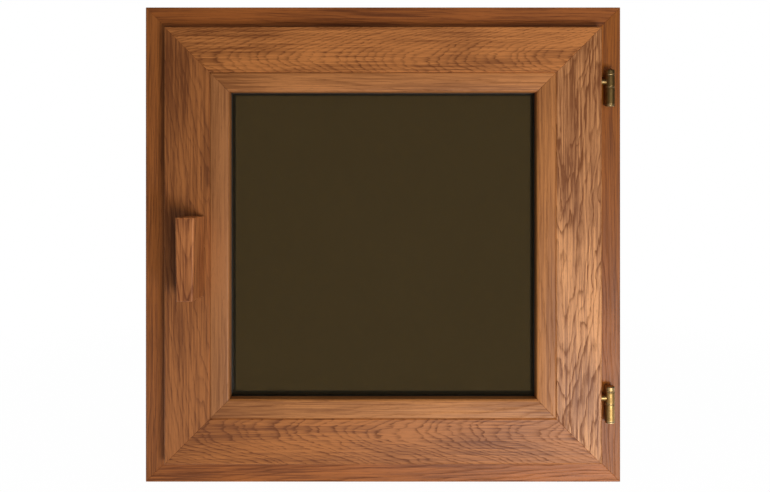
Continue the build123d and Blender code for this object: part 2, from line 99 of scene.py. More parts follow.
def shrunkOutline(outline, amount):
    # the same outline moved in by an amount, point by point
    turn = 1 if signedArea(outline) > 0 else -1
    count = len(outline)
    moved = []
    for index, point in enumerate(outline):
        before = outline[index - 1]
        after = outline[(index + 1) % count]
        normals = []
        for tail, head in ((before, point), (point, after)):
            along = Vector((head[0] - tail[0], head[1] - tail[1]))
            if along.length > 1e-6:
                along.normalize()
                normals.append(Vector((-along.y, along.x)) * turn)
        normal = sum(normals, Vector((0, 0))).normalized()
        stretch = 1 / max(normal.dot(normals[0]), 0.4)
        reach = amount * stretch
        moved.append((point[0] + normal.x * reach, point[1] + normal.y * reach, point[2]))
    return moved


def loftRings(rings, closed=False):
    # rings of equal length, each a list of ((x, y, z), worn); an open loft has its two ends capped
    points = [item for ring in rings for item in ring]
    size = len(rings[0])
    faces = []
    spans = len(rings) if closed else len(rings) - 1
    for span in range(spans):
        first = span * size
        second = ((span + 1) % len(rings)) * size
        for index in range(size):
            following = (index + 1) % size
            faces.append((first + index, first + following, second + following, second + index))
    if not closed:
        faces.append(tuple(reversed(range(size))))
        faces.append(tuple(range(len(points) - size, len(points))))
    return points, faces


def joinedShells(*shells):
    points = []
    faces = []
    for shellPoints, shellFaces in shells:
        offset = len(points)
        points += shellPoints
        faces += [tuple(index + offset for index in face) for face in shellFaces]
    return points, faces


def meshFrom(name, shell):
    points, faces = shell
    mesh = bpy.data.meshes.new(name)
    mesh.from_pydata([Vector(place) * mm for place, worn in points], [], faces)
    worn = mesh.attributes.new("worn", "FLOAT", "POINT")
    worn.data.foreach_set("value", [value for place, value in points])
    work = bmesh.new()
    work.from_mesh(mesh)
    bmesh.ops.recalc_face_normals(work, faces=work.faces)
    work.to_mesh(mesh)
    work.free()
    return mesh


def bakeModifiers(piece):
    bpy.context.view_layer.update()
    graph = bpy.context.evaluated_depsgraph_get()
    mesh = bpy.data.meshes.new_from_object(piece.evaluated_get(graph))
    old = piece.data
    piece.modifiers.clear()
    piece.data = mesh
    bpy.data.meshes.remove(old)


def workObject(name, shell):
    made = bpy.data.objects.new(name, meshFrom(name, shell))
    bpy.context.scene.collection.objects.link(made)
    return made


def cutWith(piece, shells, operation="DIFFERENCE"):
    # one boolean against shells that don't touch each other
    tool = workObject("cutter", joinedShells(*shells))
    cut = piece.modifiers.new("cut", "BOOLEAN")
    cut.operation = operation
    cut.solver = "EXACT"
    cut.object = tool
    bakeModifiers(piece)
    bpy.data.objects.remove(tool)


def finishPiece(piece, material, body, nodes, sharpAngle=32):
    piece.data.materials.clear()
    piece.data.materials.append(material)
    piece.data.shade_smooth()
    piece.data.set_sharp_from_angle(angle=radians(sharpAngle))
    weighted = piece.modifiers.new("flatFaces", "WEIGHTED_NORMAL")
    weighted.keep_sharp = True
    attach(piece, body)
    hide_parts(*nodes)


def axisFrame(direction):
    # a direction with two more at right angles to it
    forward = Vector(direction).normalized()
    side = forward.orthogonal().normalized()
    return forward, side, forward.cross(side)


def lathe(origin, direction, profile, segments=40):
    # profile points are (radius, distance along the axis, worn); a radius of 0 closes the end in a point
    forward, side, up = axisFrame(direction)
    origin = Vector(origin)
    points = []
    faces = []
    starts = []
    for radius, along, worn in profile:
        starts.append(len(points))
        if radius <= 0:
            points.append((origin + forward * along, worn))
            continue
        for step in range(segments):
            angle = tau * step / segments
            spoke = side * cos(angle) + up * sin(angle)
            points.append((origin + forward * along + spoke * radius, worn))
    for index in range(len(profile) - 1):
        first, second = starts[index], starts[index + 1]
        for step in range(segments):
            following = (step + 1) % segments
            if profile[index][0] <= 0 and profile[index + 1][0] <= 0:
                continue
            if profile[index][0] <= 0:
                faces.append((first, second + following, second + step))
            elif profile[index + 1][0] <= 0:
                faces.append((first + step, first + following, second))
            else:
                faces.append((first + step, first + following, second + following, second + step))
    if profile[0][0] > 0:
        faces.append(tuple(reversed(range(segments))))
    if profile[-1][0] > 0:
        faces.append(tuple(range(starts[-1], starts[-1] + segments)))
    return points, faces


def roundBore(start, direction, radius, length, segments=32):
    return lathe(start, direction, [(radius, 0.0, 0.0), (radius, length, 0.0)], segments)


def ringLathe(origin, direction, profile, segments=40):
    # a lathed ring: the profile goes once round the section and closes on itself
    forward, side, up = axisFrame(direction)
    origin = Vector(origin)
    rings = []
    for step in range(segments):
        angle = tau * step / segments
        spoke = side * cos(angle) + up * sin(angle)
        rings.append([(origin + forward * along + spoke * radius, worn) for radius, along, worn in profile])
    return loftRings(rings, closed=True)


def threadedRod(origin, direction, radius, length, plain, pitch, depth, segments=24):
    # a wood-screw shank: plain for a while, then a helical thread, then a point
    forward, side, up = axisFrame(direction)
    origin = Vector(origin)
    pointLength = radius * 1.6
    rowsPerTurn = 6
    rows = int(ceil((length - plain) / (pitch / rowsPerTurn)))
    places = [0.0, plain] + [plain + (length - plain) * (row + 1) / rows for row in range(rows)]
    rings = []
    for along in places:
        taper = min(1.0, (length - along) / pointLength + 0.06)
        ring = []
        for step in range(segments):
            angle = tau * step / segments
            wave = abs(((along - plain) / pitch - step / segments) % 1.0 - 0.5) * 2
            groove = depth * (1 - wave) if along > plain else 0.0
            spoke = side * cos(angle) + up * sin(angle)
            ring.append((origin + forward * along + spoke * (radius - groove) * taper, wave * 0.6))
        rings.append(ring)
    return loftRings(rings)


def boxShell(low, high):
    (x0, y0, z0), (x1, y1, z1) = low, high
    outline = [(x0, z0), (x1, z0), (x1, z1), (x0, z1)]
    return loftRings([[((x, y, z), 0.0) for x, z in outline] for y in (y0, y1)])


def roundedRectangle(low, high, radius):
    (x0, y0), (x1, y1) = low, high
    return roundedOutline([(x0, y0, radius), (x1, y0, radius), (x1, y1, radius), (x0, y1, radius)])


def plateShell(outline, thickness, place, arris):
    # a flat plate from an outline, with its edges eased; place turns (x, y, height) into a window point
    rings = []
    for height, inward in ((0, arris), (arris, 0), (thickness - arris, 0), (thickness, arris)):
        ring = shrunkOutline(outline, inward) if inward else outline
        rings.append([(place(x, y, height), 1.0 if inward else max(worn, 0.5)) for x, y, worn in ring])
    return loftRings(rings)


def sidePlace(side, inset):
    # turns (inward, y, along) on one side of a mitred frame into a window point
    halfWidth = windowWidth / 2 - inset
    halfHeight = windowHeight / 2 - inset
    return {
        "top": lambda inward, y, along: (along, y, middleZ + halfHeight - inward),
        "bottom": lambda inward, y, along: (along, y, middleZ - halfHeight + inward),
        "left": lambda inward, y, along: (-halfWidth + inward, y, middleZ + along),
        "right": lambda inward, y, along: (halfWidth - inward, y, middleZ + along),
    }[side]


def sideReach(side, inset):
    return (windowWidth if side in ("top", "bottom") else windowHeight) / 2 - inset


def mitredShell(side, inset, outline, arris, spans=10):
    # a moulding swept along one side, its mitred ends eased so that the joint shows as a fine line
    place = sidePlace(side, inset)
    reach = sideReach(side, inset)
    eased = shrunkOutline(outline, arris)
    rings = [[(place(x, y, -(reach - x)), 0.5) for x, y, worn in eased]]
    for span in range(spans + 1):
        share = 2 * span / spans - 1
        rings.append([(place(x, y, (reach - x - arris) * share), worn) for x, y, worn in outline])
    rings.append([(place(x, y, reach - x), 0.5) for x, y, worn in eased])
    return loftRings(rings)


def addNode(tree, kind, **settings):
    made = tree.nodes.new(kind)
    for name, value in settings.items():
        setattr(made, name, value)
    return made


def feed(tree, socket, source):
    if isinstance(source, bpy.types.NodeSocket):
        tree.links.new(source, socket)
    else:
        socket.default_value = source


def calc(tree, operation, *terms):
    made = addNode(tree, "ShaderNodeMath", operation=operation)
    for socket, term in zip(made.inputs, terms):
        feed(tree, socket, term)
    return made.outputs[0]


def point(tree, x, y, z):
    made = addNode(tree, "ShaderNodeCombineXYZ")
    for socket, term in zip(made.inputs, (x, y, z)):
        feed(tree, socket, term)
    return made.outputs[0]


def noise(tree, vector, scale=1.0, detail=2.0, roughness=0.5):
    made = addNode(tree, "ShaderNodeTexNoise")
    feed(tree, made.inputs["Vector"], vector)
    made.inputs["Scale"].default_value = scale
    made.inputs["Detail"].default_value = detail
    made.inputs["Roughness"].default_value = roughness
    return made.outputs["Fac"]


def spread(tree, value, low, high, toLow=0.0, toHigh=1.0):
    made = addNode(tree, "ShaderNodeMapRange", clamp=True)
    feed(tree, made.inputs["Value"], value)
    made.inputs["From Min"].default_value = low
    made.inputs["From Max"].default_value = high
    made.inputs["To Min"].default_value = toLow
    made.inputs["To Max"].default_value = toHigh
    return made.outputs["Result"]


def mixColour(tree, factor, first, second, blend="MIX"):
    made = addNode(tree, "ShaderNodeMix", data_type="RGBA", blend_type=blend)
    feed(tree, made.inputs["Factor"], factor)
    feed(tree, made.inputs["A"], first)
    feed(tree, made.inputs["B"], second)
    return made.outputs["Result"]


def rampOf(tree, factor, stops):
    made = addNode(tree, "ShaderNodeValToRGB")
    feed(tree, made.inputs["Fac"], factor)
    ramp = made.color_ramp
    while len(ramp.elements) < len(stops):
        ramp.elements.new(0.5)
    for element, (place, level) in zip(ramp.elements, stops):
        element.position = place
        element.color = (level, level, level, 1)
    return made.outputs["Color"]


def newGroup(name, inputs, outputs):
    group = bpy.data.node_groups.new(name, "ShaderNodeTree")
    kinds = {"float": "NodeSocketFloat", "vector": "NodeSocketVector", "colour": "NodeSocketColor"}
    for socketName, kind, value in inputs:
        socket = group.interface.new_socket(name=socketName, in_out="INPUT", socket_type=kinds[kind])
        if value is not None:
            socket.default_value = value
    for socketName, kind in outputs:
        group.interface.new_socket(name=socketName, in_out="OUTPUT", socket_type=kinds[kind])
    source = group.nodes.new("NodeGroupInput")
    target = group.nodes.new("NodeGroupOutput")
    return group, source.outputs, target.inputs


def useGroup(tree, group, **values):
    made = addNode(tree, "ShaderNodeGroup", node_tree=group)
    for name, value in values.items():
        feed(tree, made.inputs[name], value)
    return made.outputs


def colour(red, green, blue):
    return (red, green, blue, 1.0)


def grey(level):
    return colour(level, level, level)


# the timber's noises: scale along the plank, scale across it, detail, offset, roughness
grainNoises = {
    "sway": (0.0055, 0.0, 1.0, 3.7, 0.5),
    "heave": (0.008, 0.0, 1.0, 61.3, 0.5),
    "fibre": (0.03, 0.95, 2.0, 11.9, 0.5),
    "warp": (0.014, 0.055, 2.0, 29.3, 0.5),
    "small": (0.05, 0.16, 2.0, 47.7, 0.5),
    "broken": (0.045, 0.5, 2.0, 83.1, 0.5),
    "dashes": (0.17, 2.3, 1.0, 7.3, 0.5),
    "streak": (0.011, 0.55, 3.0, 19.9, 0.6),
    "hair": (0.03, 1.9, 2.0, 91.7, 0.6),
    "patch": (0.007, 0.028, 1.0, 53.3, 0.5),
}
# how much of each effect goes into the rings, the tone, the roughness and the height of the surface
grainValues = {
    "seedSpacing": 37.1,
    "acrossDrift": 2.0, "warpShare": 2.2, "smallShare": 0.55, "yearlyScale": 0.45, "yearlyShare": 1.9,
    "ringLine": [(0.0, 0.5), (0.06, 1.0), (0.17, 0.7), (0.36, 0.22), (0.65, 0.04), (0.93, 0.08), (1.0, 0.5)],
    "faintRing": 0.55, "boldRing": 1.1, "brokenFrom": -0.22, "brokenTo": 0.12, "brokenLeast": 0.35,
    "dashFrom": 0.06, "dashTo": 0.2, "porePlain": 0.25, "poreInRing": 0.75,
    "hairShare": 0.7, "patchShare": 1.9, "toneStart": 0.31,
    "roughStart": 0.51, "roughRing": 0.26, "roughPore": 0.2, "roughHair": 0.12,
    "ringHeight": -0.22, "poreHeight": -0.8, "hairHeight": 0.25,
}


# growth rings round a pith that leans along the plank, jagged by the fibres, with fine pores in the rings,
# and painted light: a slope of tone along the plank
def makeTimberGrain():
    tree, given, result = newGroup(
        "timberGrain",
        [
            ("plankPoint", "vector", None),
            ("seed", "float", 0.0),
            ("pithAcross", "float", 0.0),
            ("pithDepth", "float", -25.0),
            ("lean", "float", 0.15),
            ("ringWidth", "float", 4.0),
            ("drift", "float", 6.0),
            ("wobble", "float", 4.0),
            ("jag", "float", 8.0),
            ("figure", "float", 0.6),
            ("streaks", "float", 0.5),
            ("pores", "float", 0.5),
            ("paintedLightSlope", "float", 0.0),
            ("palePart", "colour", colour(0.6, 0.3, 0.13)),
            ("deepPart", "colour", colour(0.3, 0.1, 0.03)),
            ("porePart", "colour", colour(0.1, 0.03, 0.01)),
        ],
        [("Color", "colour"), ("Roughness", "float"), ("Height", "float")],
    )
    values = grainValues
    parts = addNode(tree, "ShaderNodeSeparateXYZ")
    feed(tree, parts.inputs[0], given["plankPoint"])
    along, across, depth = parts.outputs
    seed = given["seed"]
    shift = calc(tree, "MULTIPLY", seed, values["seedSpacing"])

    def add(value, share, rest):
        return calc(tree, "MULTIPLY_ADD", value, share, rest)

    def grainNoise(name):
        alongScale, acrossScale, detail, offset, roughness = grainNoises[name]
        place = point(
            tree,
            add(along, alongScale, calc(tree, "ADD", shift, offset)),
            add(across, acrossScale, shift),
            calc(tree, "MULTIPLY", depth, acrossScale),
        )
        return calc(tree, "SUBTRACT", noise(tree, place, 1.0, detail, roughness), 0.5)

    def squaredGap(first, second):
        return calc(tree, "POWER", calc(tree, "ABSOLUTE", calc(tree, "SUBTRACT", first, second)), 2.0)

    acrossDrift = calc(tree, "MULTIPLY", given["drift"], values["acrossDrift"])
    pithAcross = add(grainNoise("sway"), acrossDrift, given["pithAcross"])
    pithDepth = add(grainNoise("heave"), given["drift"], given["pithDepth"])
    gaps = calc(tree, "ADD", squaredGap(across, pithAcross), squaredGap(depth, pithDepth))
    growth = calc(tree, "SQRT", gaps)
    growth = add(grainNoise("warp"), calc(tree, "MULTIPLY", given["wobble"], values["warpShare"]), growth)
    growth = add(grainNoise("small"), calc(tree, "MULTIPLY", given["wobble"], values["smallShare"]), growth)
    jagged = add(grainNoise("fibre"), given["jag"], along)
    growth = calc(tree, "SUBTRACT", growth, calc(tree, "MULTIPLY", jagged, given["lean"]))
    phase = calc(tree, "DIVIDE", growth, given["ringWidth"])
    yearPlace = point(tree, calc(tree, "MULTIPLY", phase, values["yearlyScale"]), shift, 5.0)
    phase = add(noise(tree, yearPlace, 1.0, 1.0), values["yearlyShare"], phase)
    line = rampOf(tree, calc(tree, "FRACT", phase), values["ringLine"])
    whichRing = addNode(tree, "ShaderNodeTexWhiteNoise", noise_dimensions="1D")
    feed(tree, whichRing.inputs["W"], calc(tree, "ADD", calc(tree, "FLOOR", phase), seed))
    boldness = spread(tree, whichRing.outputs["Value"], 0.0, 1.0, values["faintRing"], values["boldRing"])
    broken = spread(tree, grainNoise("broken"), values["brokenFrom"], values["brokenTo"],
                    values["brokenLeast"], 1.0)
    line = calc(tree, "MULTIPLY", line, calc(tree, "MULTIPLY", boldness, broken))

    dashes = spread(tree, grainNoise("dashes"), values["dashFrom"], values["dashTo"])
    poreMask = calc(tree, "MULTIPLY", dashes, add(line, values["poreInRing"], values["porePlain"]))
    poreMask = calc(tree, "MULTIPLY", poreMask, given["pores"])
    hair = grainNoise("hair")

    tone = calc(tree, "MULTIPLY", line, given["figure"])
    tone = add(grainNoise("streak"), given["streaks"], tone)
    tone = add(hair, calc(tree, "MULTIPLY", given["streaks"], values["hairShare"]), tone)
    tone = add(grainNoise("patch"), values["patchShare"], calc(tree, "ADD", tone, values["toneStart"]))
    # painted light: the tone slides along the plank, so the plank gets paler towards one end as if the lamps
    # lit that end more
    tone = calc(tree, "SUBTRACT", tone, calc(tree, "MULTIPLY", along, given["paintedLightSlope"]))
    tone = calc(tree, "MINIMUM", calc(tree, "MAXIMUM", tone, 0.0), 1.0)
    shade = mixColour(tree, tone, given["palePart"], given["deepPart"])
    feed(tree, result["Color"], mixColour(tree, poreMask, shade, given["porePart"]))
    rough = add(poreMask, values["roughPore"], add(line, values["roughRing"], values["roughStart"]))
    feed(tree, result["Roughness"], add(hair, values["roughHair"], rough))
    height = add(poreMask, values["poreHeight"], calc(tree, "MULTIPLY", line, values["ringHeight"]))
    feed(tree, result["Height"], add(hair, values["hairHeight"], height))
    return tree


# rubbed edges, from the worn value that each mesh carries on its rounded edges
wearPatches = {"scale": 160.0, "from": 0.35, "to": 0.65}


def makeEdgeWear():
    tree, given, result = newGroup(
        "edgeWear",
        [
            ("Color", "colour", colour(0.5, 0.5, 0.5)),
            ("Roughness", "float", 0.5),
            ("wornEdge", "float", 0.0),
            ("wearColour", "colour", colour(0.7, 0.7, 0.7)),
            ("wearAmount", "float", 0.3),
            ("wearShine", "float", -0.08),
        ],
        [("Color", "colour"), ("Roughness", "float")],
    )
    place = addNode(tree, "ShaderNodeTexCoord").outputs["Object"]
    patches = noise(tree, place, wearPatches["scale"], 3.0, 0.6)
    patchy = spread(tree, patches, wearPatches["from"], wearPatches["to"])
    mask = calc(tree, "MULTIPLY", given["wornEdge"], calc(tree, "MULTIPLY", patchy, given["wearAmount"]))
    feed(tree, result["Color"], mixColour(tree, mask, given["Color"], given["wearColour"]))
    feed(tree, result["Roughness"], calc(tree, "MULTIPLY_ADD", mask, given["wearShine"], given["Roughness"]))
    return tree


# mottled tone and a fine surface, for metals, rubbers and plastics; the brushed lines lie level
mottleValues = {
    "cloudFrom": 0.34, "cloudTo": 0.66, "brushScales": (300.0, 300.0, 3800.0), "brushRough": 0.3,
    "brushHeight": 0.8, "speckScale": 2600.0, "speckHeight": 0.4,
}


def makeMottle():
    tree, given, result = newGroup(
        "mottle",
        [
            ("first", "colour", colour(0.5, 0.5, 0.5)),
            ("second", "colour", colour(0.4, 0.4, 0.4)),
            ("cloudScale", "float", 90.0),
            ("brushAcross", "float", 0.0),
            ("baseRoughness", "float", 0.4),
            ("roughnessSpread", "float", 0.15),
        ],
        [("Color", "colour"), ("Roughness", "float"), ("Height", "float")],
    )
    place = addNode(tree, "ShaderNodeTexCoord").outputs["Object"]
    parts = addNode(tree, "ShaderNodeSeparateXYZ")
    feed(tree, parts.inputs[0], place)
    clouds = addNode(tree, "ShaderNodeTexNoise")
    feed(tree, clouds.inputs["Vector"], place)
    feed(tree, clouds.inputs["Scale"], given["cloudScale"])
    clouds.inputs["Detail"].default_value = 4.0
    cloud = spread(tree, clouds.outputs["Fac"], mottleValues["cloudFrom"], mottleValues["cloudTo"])
    brushPlace = []
    for part, scale in zip(parts.outputs, mottleValues["brushScales"]):
        brushPlace.append(calc(tree, "MULTIPLY", part, scale))
    lines = noise(tree, point(tree, *brushPlace), 1.0, 2.0)
    brushed = calc(tree, "MULTIPLY", calc(tree, "SUBTRACT", lines, 0.5), given["brushAcross"])
    speck = noise(tree, place, mottleValues["speckScale"], 2.0, 0.6)
    factor = calc(tree, "ADD", cloud, brushed)
    feed(tree, result["Color"], mixColour(tree, factor, given["first"], given["second"]))
    roughened = calc(tree, "MULTIPLY_ADD", cloud, given["roughnessSpread"], given["baseRoughness"])
    roughened = calc(tree, "MULTIPLY_ADD", brushed, mottleValues["brushRough"], roughened)
    feed(tree, result["Roughness"], roughened)
    specks = calc(tree, "MULTIPLY", speck, mottleValues["speckHeight"])
    feed(tree, result["Height"], calc(tree, "MULTIPLY_ADD", brushed, mottleValues["brushHeight"], specks))
    return tree


timberGrain = makeTimberGrain()
edgeWear = makeEdgeWear()
mottle = makeMottle()
print("shader groups ready")


def newMaterial(name):
    material = bpy.data.materials.new(name)
    material.use_nodes = True
    tree = material.node_tree
    shader = tree.nodes["Principled BSDF"]
    return material, tree, shader


def wornValue(tree):
    return addNode(tree, "ShaderNodeAttribute", attribute_name="worn").outputs["Fac"]


def bumpInto(tree, shader, height, distance, strength):
    bump = addNode(tree, "ShaderNodeBump")
    bump.inputs["Strength"].default_value = strength
    bump.inputs["Distance"].default_value = distance
    feed(tree, bump.inputs["Height"], height)
    tree.links.new(bump.outputs["Normal"], shader.inputs["Normal"])


timberValues = {
    "poreShare": 0.6, "wearPaler": 1.15, "wearAmount": 0.3, "wearShine": -0.06,
    "bump": 0.00012, "bumpStrength": 0.55, "specular": 0.35, "coat": 0.04, "coatRoughness": 0.35,
}
plankInputs = ("seed", "lean", "ringWidth", "drift", "wobble", "jag", "figure", "streaks", "pores", "paintedLightSlope")


def plankMaterial(name, plank, pale, deep):
    material, tree, shader = newMaterial(name)
    parts = addNode(tree, "ShaderNodeSeparateXYZ")
    feed(tree, parts.inputs[0], addNode(tree, "ShaderNodeTexCoord").outputs["Object"])
    x, y, z = [calc(tree, "MULTIPLY", part, 1 / mm) for part in parts.outputs]
    place = point(tree, x, z, y) if plank["along"] == "x" else point(tree, z, x, y)
    grain = useGroup(
        tree,
        timberGrain,
        plankPoint=place,
        pithAcross=plank["pith"][0],
        pithDepth=plank["pith"][1],
        palePart=colour(*pale),
        deepPart=colour(*deep),
        porePart=colour(*[part * timberValues["poreShare"] for part in deep]),
        **{given: plank[given] for given in plankInputs},
    )
    worn = useGroup(
        tree,
        edgeWear,
        Color=grain["Color"],
        Roughness=grain["Roughness"],
        wornEdge=wornValue(tree),
        wearColour=colour(*[min(1.0, part * timberValues["wearPaler"]) for part in pale]),
        wearAmount=timberValues["wearAmount"],
        wearShine=timberValues["wearShine"],
    )
    feed(tree, shader.inputs["Base Color"], worn["Color"])
    feed(tree, shader.inputs["Roughness"], worn["Roughness"])
    bumpInto(tree, shader, grain["Height"], timberValues["bump"], timberValues["bumpStrength"])
    shader.inputs["Specular IOR Level"].default_value = timberValues["specular"]
    shader.inputs["Coat Weight"].default_value = timberValues["coat"]
    shader.inputs["Coat Roughness"].default_value = timberValues["coatRoughness"]
    return material


def mottledMaterial(name, values):
    material, tree, shader = newMaterial(name)
    cloudy = useGroup(
        tree,
        mottle,
        first=colour(*values["first"]),
        second=colour(*values["second"]),
        cloudScale=values["cloudScale"],
        brushAcross=values["brush"],
        baseRoughness=values["roughness"],
        roughnessSpread=values["roughnessSpread"],
    )
    worn = useGroup(
        tree,
        edgeWear,
        Color=cloudy["Color"],
        Roughness=cloudy["Roughness"],
        wornEdge=wornValue(tree),
        wearColour=colour(*values["wear"]),
        wearAmount=values["wearAmount"],
        wearShine=values["wearShine"],
    )
    feed(tree, shader.inputs["Base Color"], worn["Color"])
    feed(tree, shader.inputs["Roughness"], worn["Roughness"])
    shader.inputs["Metallic"].default_value = values["metallic"]
    bumpInto(tree, shader, cloudy["Height"], values["bump"], 0.5)
    return material


# pith is where the middle of the tree runs, across the plank and in depth, in mm; lean opens the arches
plainPlank = {
    "along": "x", "seed": 1.0, "pith": (0.0, 90.0), "lean": 0.02, "ringWidth": 3.4, "drift": 6.0,
    "wobble": 3.0, "jag": 4.0, "figure": 0.6, "streaks": 2.3, "pores": 0.6, "paintedLightSlope": 0.0,
}
# paintedLightSlope is painted light: a positive slope makes a plank paler along it and a negative one darker,
# so planks are paler towards the lower right, where the lamps are brightest
planks = {
    "frame_head": {"seed": 2.3, "pith": (540.0, 20.0), "lean": 0.03},
    "frame_sill": {"seed": 3.1, "pith": (-60.0, 40.0), "lean": 0.05, "paintedLightSlope": 0.0007},
    "frame_hinge_jamb": {"along": "z", "seed": 4.7, "pith": (300.0, 10.0)},
    "frame_latch_jamb": {"along": "z", "seed": 5.9, "pith": (-310.0, 10.0)},
    "sash_top_rail": {
        "seed": 6.4, "pith": (443.7, -25.0), "lean": 0.166, "ringWidth": 1.8, "drift": 3.0,
        "wobble": 2.2, "jag": 8.0, "figure": 0.75, "pores": 0.8, "paintedLightSlope": 0.0013,
    },
    "sash_bottom_rail": {
        "seed": 7.7, "pith": (58.0, -33.0), "lean": 0.24, "ringWidth": 3.2,
        "wobble": 5.0, "jag": 7.0, "figure": 0.95, "pores": 0.8, "paintedLightSlope": 0.0006,
    },
    "sash_hinge_stile": {
        "along": "z", "seed": 8.2, "pith": (192.0, -38.0), "lean": 0.12, "ringWidth": 5.4, "drift": 10.0,
        "wobble": 10.0, "jag": 9.0, "figure": 0.84, "pores": 1.0, "paintedLightSlope": -0.0004,
    },
    "sash_latch_stile": {
        "along": "z", "seed": 9.6, "pith": (-150.0, 10.0), "lean": 0.10, "ringWidth": 3.6, "drift": 8.0,
        "wobble": 5.0, "figure": 0.65, "pores": 0.7, "paintedLightSlope": -0.0006,
    },
    "bead_top": {"seed": 11.3, "pith": (500.0, 60.0), "lean": 0.04, "figure": 0.35, "paintedLightSlope": 0.0013},
    "bead_bottom": {"seed": 12.8, "pith": (10.0, 60.0), "lean": 0.03, "figure": 0.35, "paintedLightSlope": 0.001},
    "bead_hinge_side": {"along": "z", "seed": 13.5, "pith": (230.0, 60.0), "figure": 0.35},
    "bead_latch_side": {"along": "z", "seed": 14.2, "pith": (-260.0, 60.0), "lean": 0.03, "figure": 0.3},
    "handle_grip": {
        "along": "z", "seed": 15.4, "pith": (-193.5, -86.0), "lean": 0.11, "ringWidth": 4.0, "drift": 2.0,
        "wobble": 1.5, "jag": 5.0, "figure": 1.0, "pores": 0.5,
    },
    "frame_corner_dowels": {"along": "z", "seed": 16.1, "pith": (0.0, 80.0)},
    "sash_corner_dowels": {"along": "z", "seed": 17.9, "pith": (0.0, 80.0)},
}
# how light and how deep each plank's timber is
plankColours = {
    "frame_head": ((0.428, 0.123, 0.0207), (0.18, 0.045, 0.006)),
    "frame_sill": ((0.479, 0.143, 0.0256), (0.19, 0.049, 0.007)),
    "frame_hinge_jamb": ((0.398, 0.114, 0.01), (0.19, 0.049, 0.005)),
    "frame_latch_jamb": ((0.428, 0.13, 0.0232), (0.17, 0.045, 0.007)),
    "sash_top_rail": ((0.643, 0.226, 0.0537), (0.22, 0.06, 0.009)),
    "sash_bottom_rail": ((0.51, 0.171, 0.0366), (0.18, 0.047, 0.007)),
    "sash_hinge_stile": ((0.82, 0.357, 0.127), (0.23, 0.066, 0.011)),
    "sash_latch_stile": ((0.48, 0.163, 0.039), (0.19, 0.052, 0.009)),
    "bead_top": ((0.632, 0.238, 0.0659), (0.27, 0.087, 0.018)),
    "bead_bottom": ((0.592, 0.23, 0.0622), (0.26, 0.083, 0.018)),
    "bead_hinge_side": ((0.561, 0.21, 0.0529), (0.26, 0.083, 0.018)),
    "bead_latch_side": ((0.469, 0.177, 0.0512), (0.24, 0.078, 0.017)),
    "handle_grip": ((0.663, 0.238, 0.0695), (0.19, 0.047, 0.008)),
    "frame_corner_dowels": ((0.50, 0.27, 0.120), (0.30, 0.140, 0.055)),
    "sash_corner_dowels": ((0.50, 0.27, 0.120), (0.30, 0.140, 0.055)),
}
timber = {}
for name, plank in planks.items():
    pale, deep = plankColours[name]
    timber[name] = plankMaterial(name.replace("_", " ") + " timber", {**plainPlank, **plank}, pale, deep)
print("timber ready:", len(timber), "planks")

plainFinish = {
    "cloudScale": 90.0, "brush": 0.0, "roughness": 0.5, "roughnessSpread": 0.2,
    "wearAmount": 0.3, "wearShine": -0.1, "metallic": 0.0, "bump": 0.00002,
}
finishes = {
    "agedBrass": {
        "first": (0.49, 0.30, 0.105), "second": (0.31, 0.19, 0.065), "cloudScale": 130.0, "brush": 0.5,
        "roughness": 0.42, "roughnessSpread": 0.16, "wear": (0.86, 0.66, 0.36), "wearAmount": 0.8,
        "wearShine": -0.12, "metallic": 1.0, "bump": 0.00004,
    },
    "bushBrass": {
        "first": (0.62, 0.44, 0.20), "second": (0.44, 0.30, 0.13), "cloudScale": 160.0, "brush": 0.3,
        "roughness": 0.28, "roughnessSpread": 0.14, "wear": (0.86, 0.68, 0.38), "wearAmount": 0.6,
        "metallic": 1.0, "bump": 0.00003,
    },
    "zincSteel": {
        "first": (0.62, 0.62, 0.60), "second": (0.48, 0.49, 0.50), "cloudScale": 210.0, "brush": 0.35,
        "roughness": 0.32, "roughnessSpread": 0.18, "wear": (0.76, 0.75, 0.73), "wearAmount": 0.6,
        "metallic": 1.0, "bump": 0.00003,
    },
    "spacerMetal": {
        "first": (0.55, 0.55, 0.54), "second": (0.46, 0.46, 0.46), "brush": 0.5, "roughness": 0.38,
        "roughnessSpread": 0.1, "wear": (0.7, 0.7, 0.7), "wearShine": -0.05, "metallic": 1.0,
    },
    "sealRubber": {
        "first": (0.020, 0.018, 0.016), "second": (0.034, 0.031, 0.028), "cloudScale": 60.0,
        "roughness": 0.55, "wear": (0.07, 0.065, 0.06), "wearAmount": 0.5, "wearShine": 0.08, "bump": 0.00003,
    },
    "gasketRubber": {
        "first": (0.010, 0.008, 0.004), "second": (0.018, 0.014, 0.009), "cloudScale": 80.0,
        "wear": (0.05, 0.042, 0.03), "wearShine": 0.05,
    },
    "edgeSealant": {
        "first": (0.030, 0.030, 0.032), "second": (0.055, 0.055, 0.056), "cloudScale": 140.0,
        "roughness": 0.6, "wear": (0.09, 0.09, 0.09), "wearShine": 0.0, "bump": 0.00006,
    },
    "packerPlastic": {
        "first": (0.08, 0.16, 0.33), "second": (0.06, 0.12, 0.27), "cloudScale": 70.0, "roughness": 0.45,
        "roughnessSpread": 0.12, "wear": (0.2, 0.3, 0.45), "wearShine": 0.05,
    },
}
finish = {name: mottledMaterial(name, {**plainFinish, **values}) for name, values in finishes.items()}

bronzeGlassValues = {
    "clear": 0.93, "tint": (0.211, 0.163, 0.086), "tintDeep": (0.203, 0.157, 0.082),
    "cloudScale": 6.0, "reflection": 0.18,
}


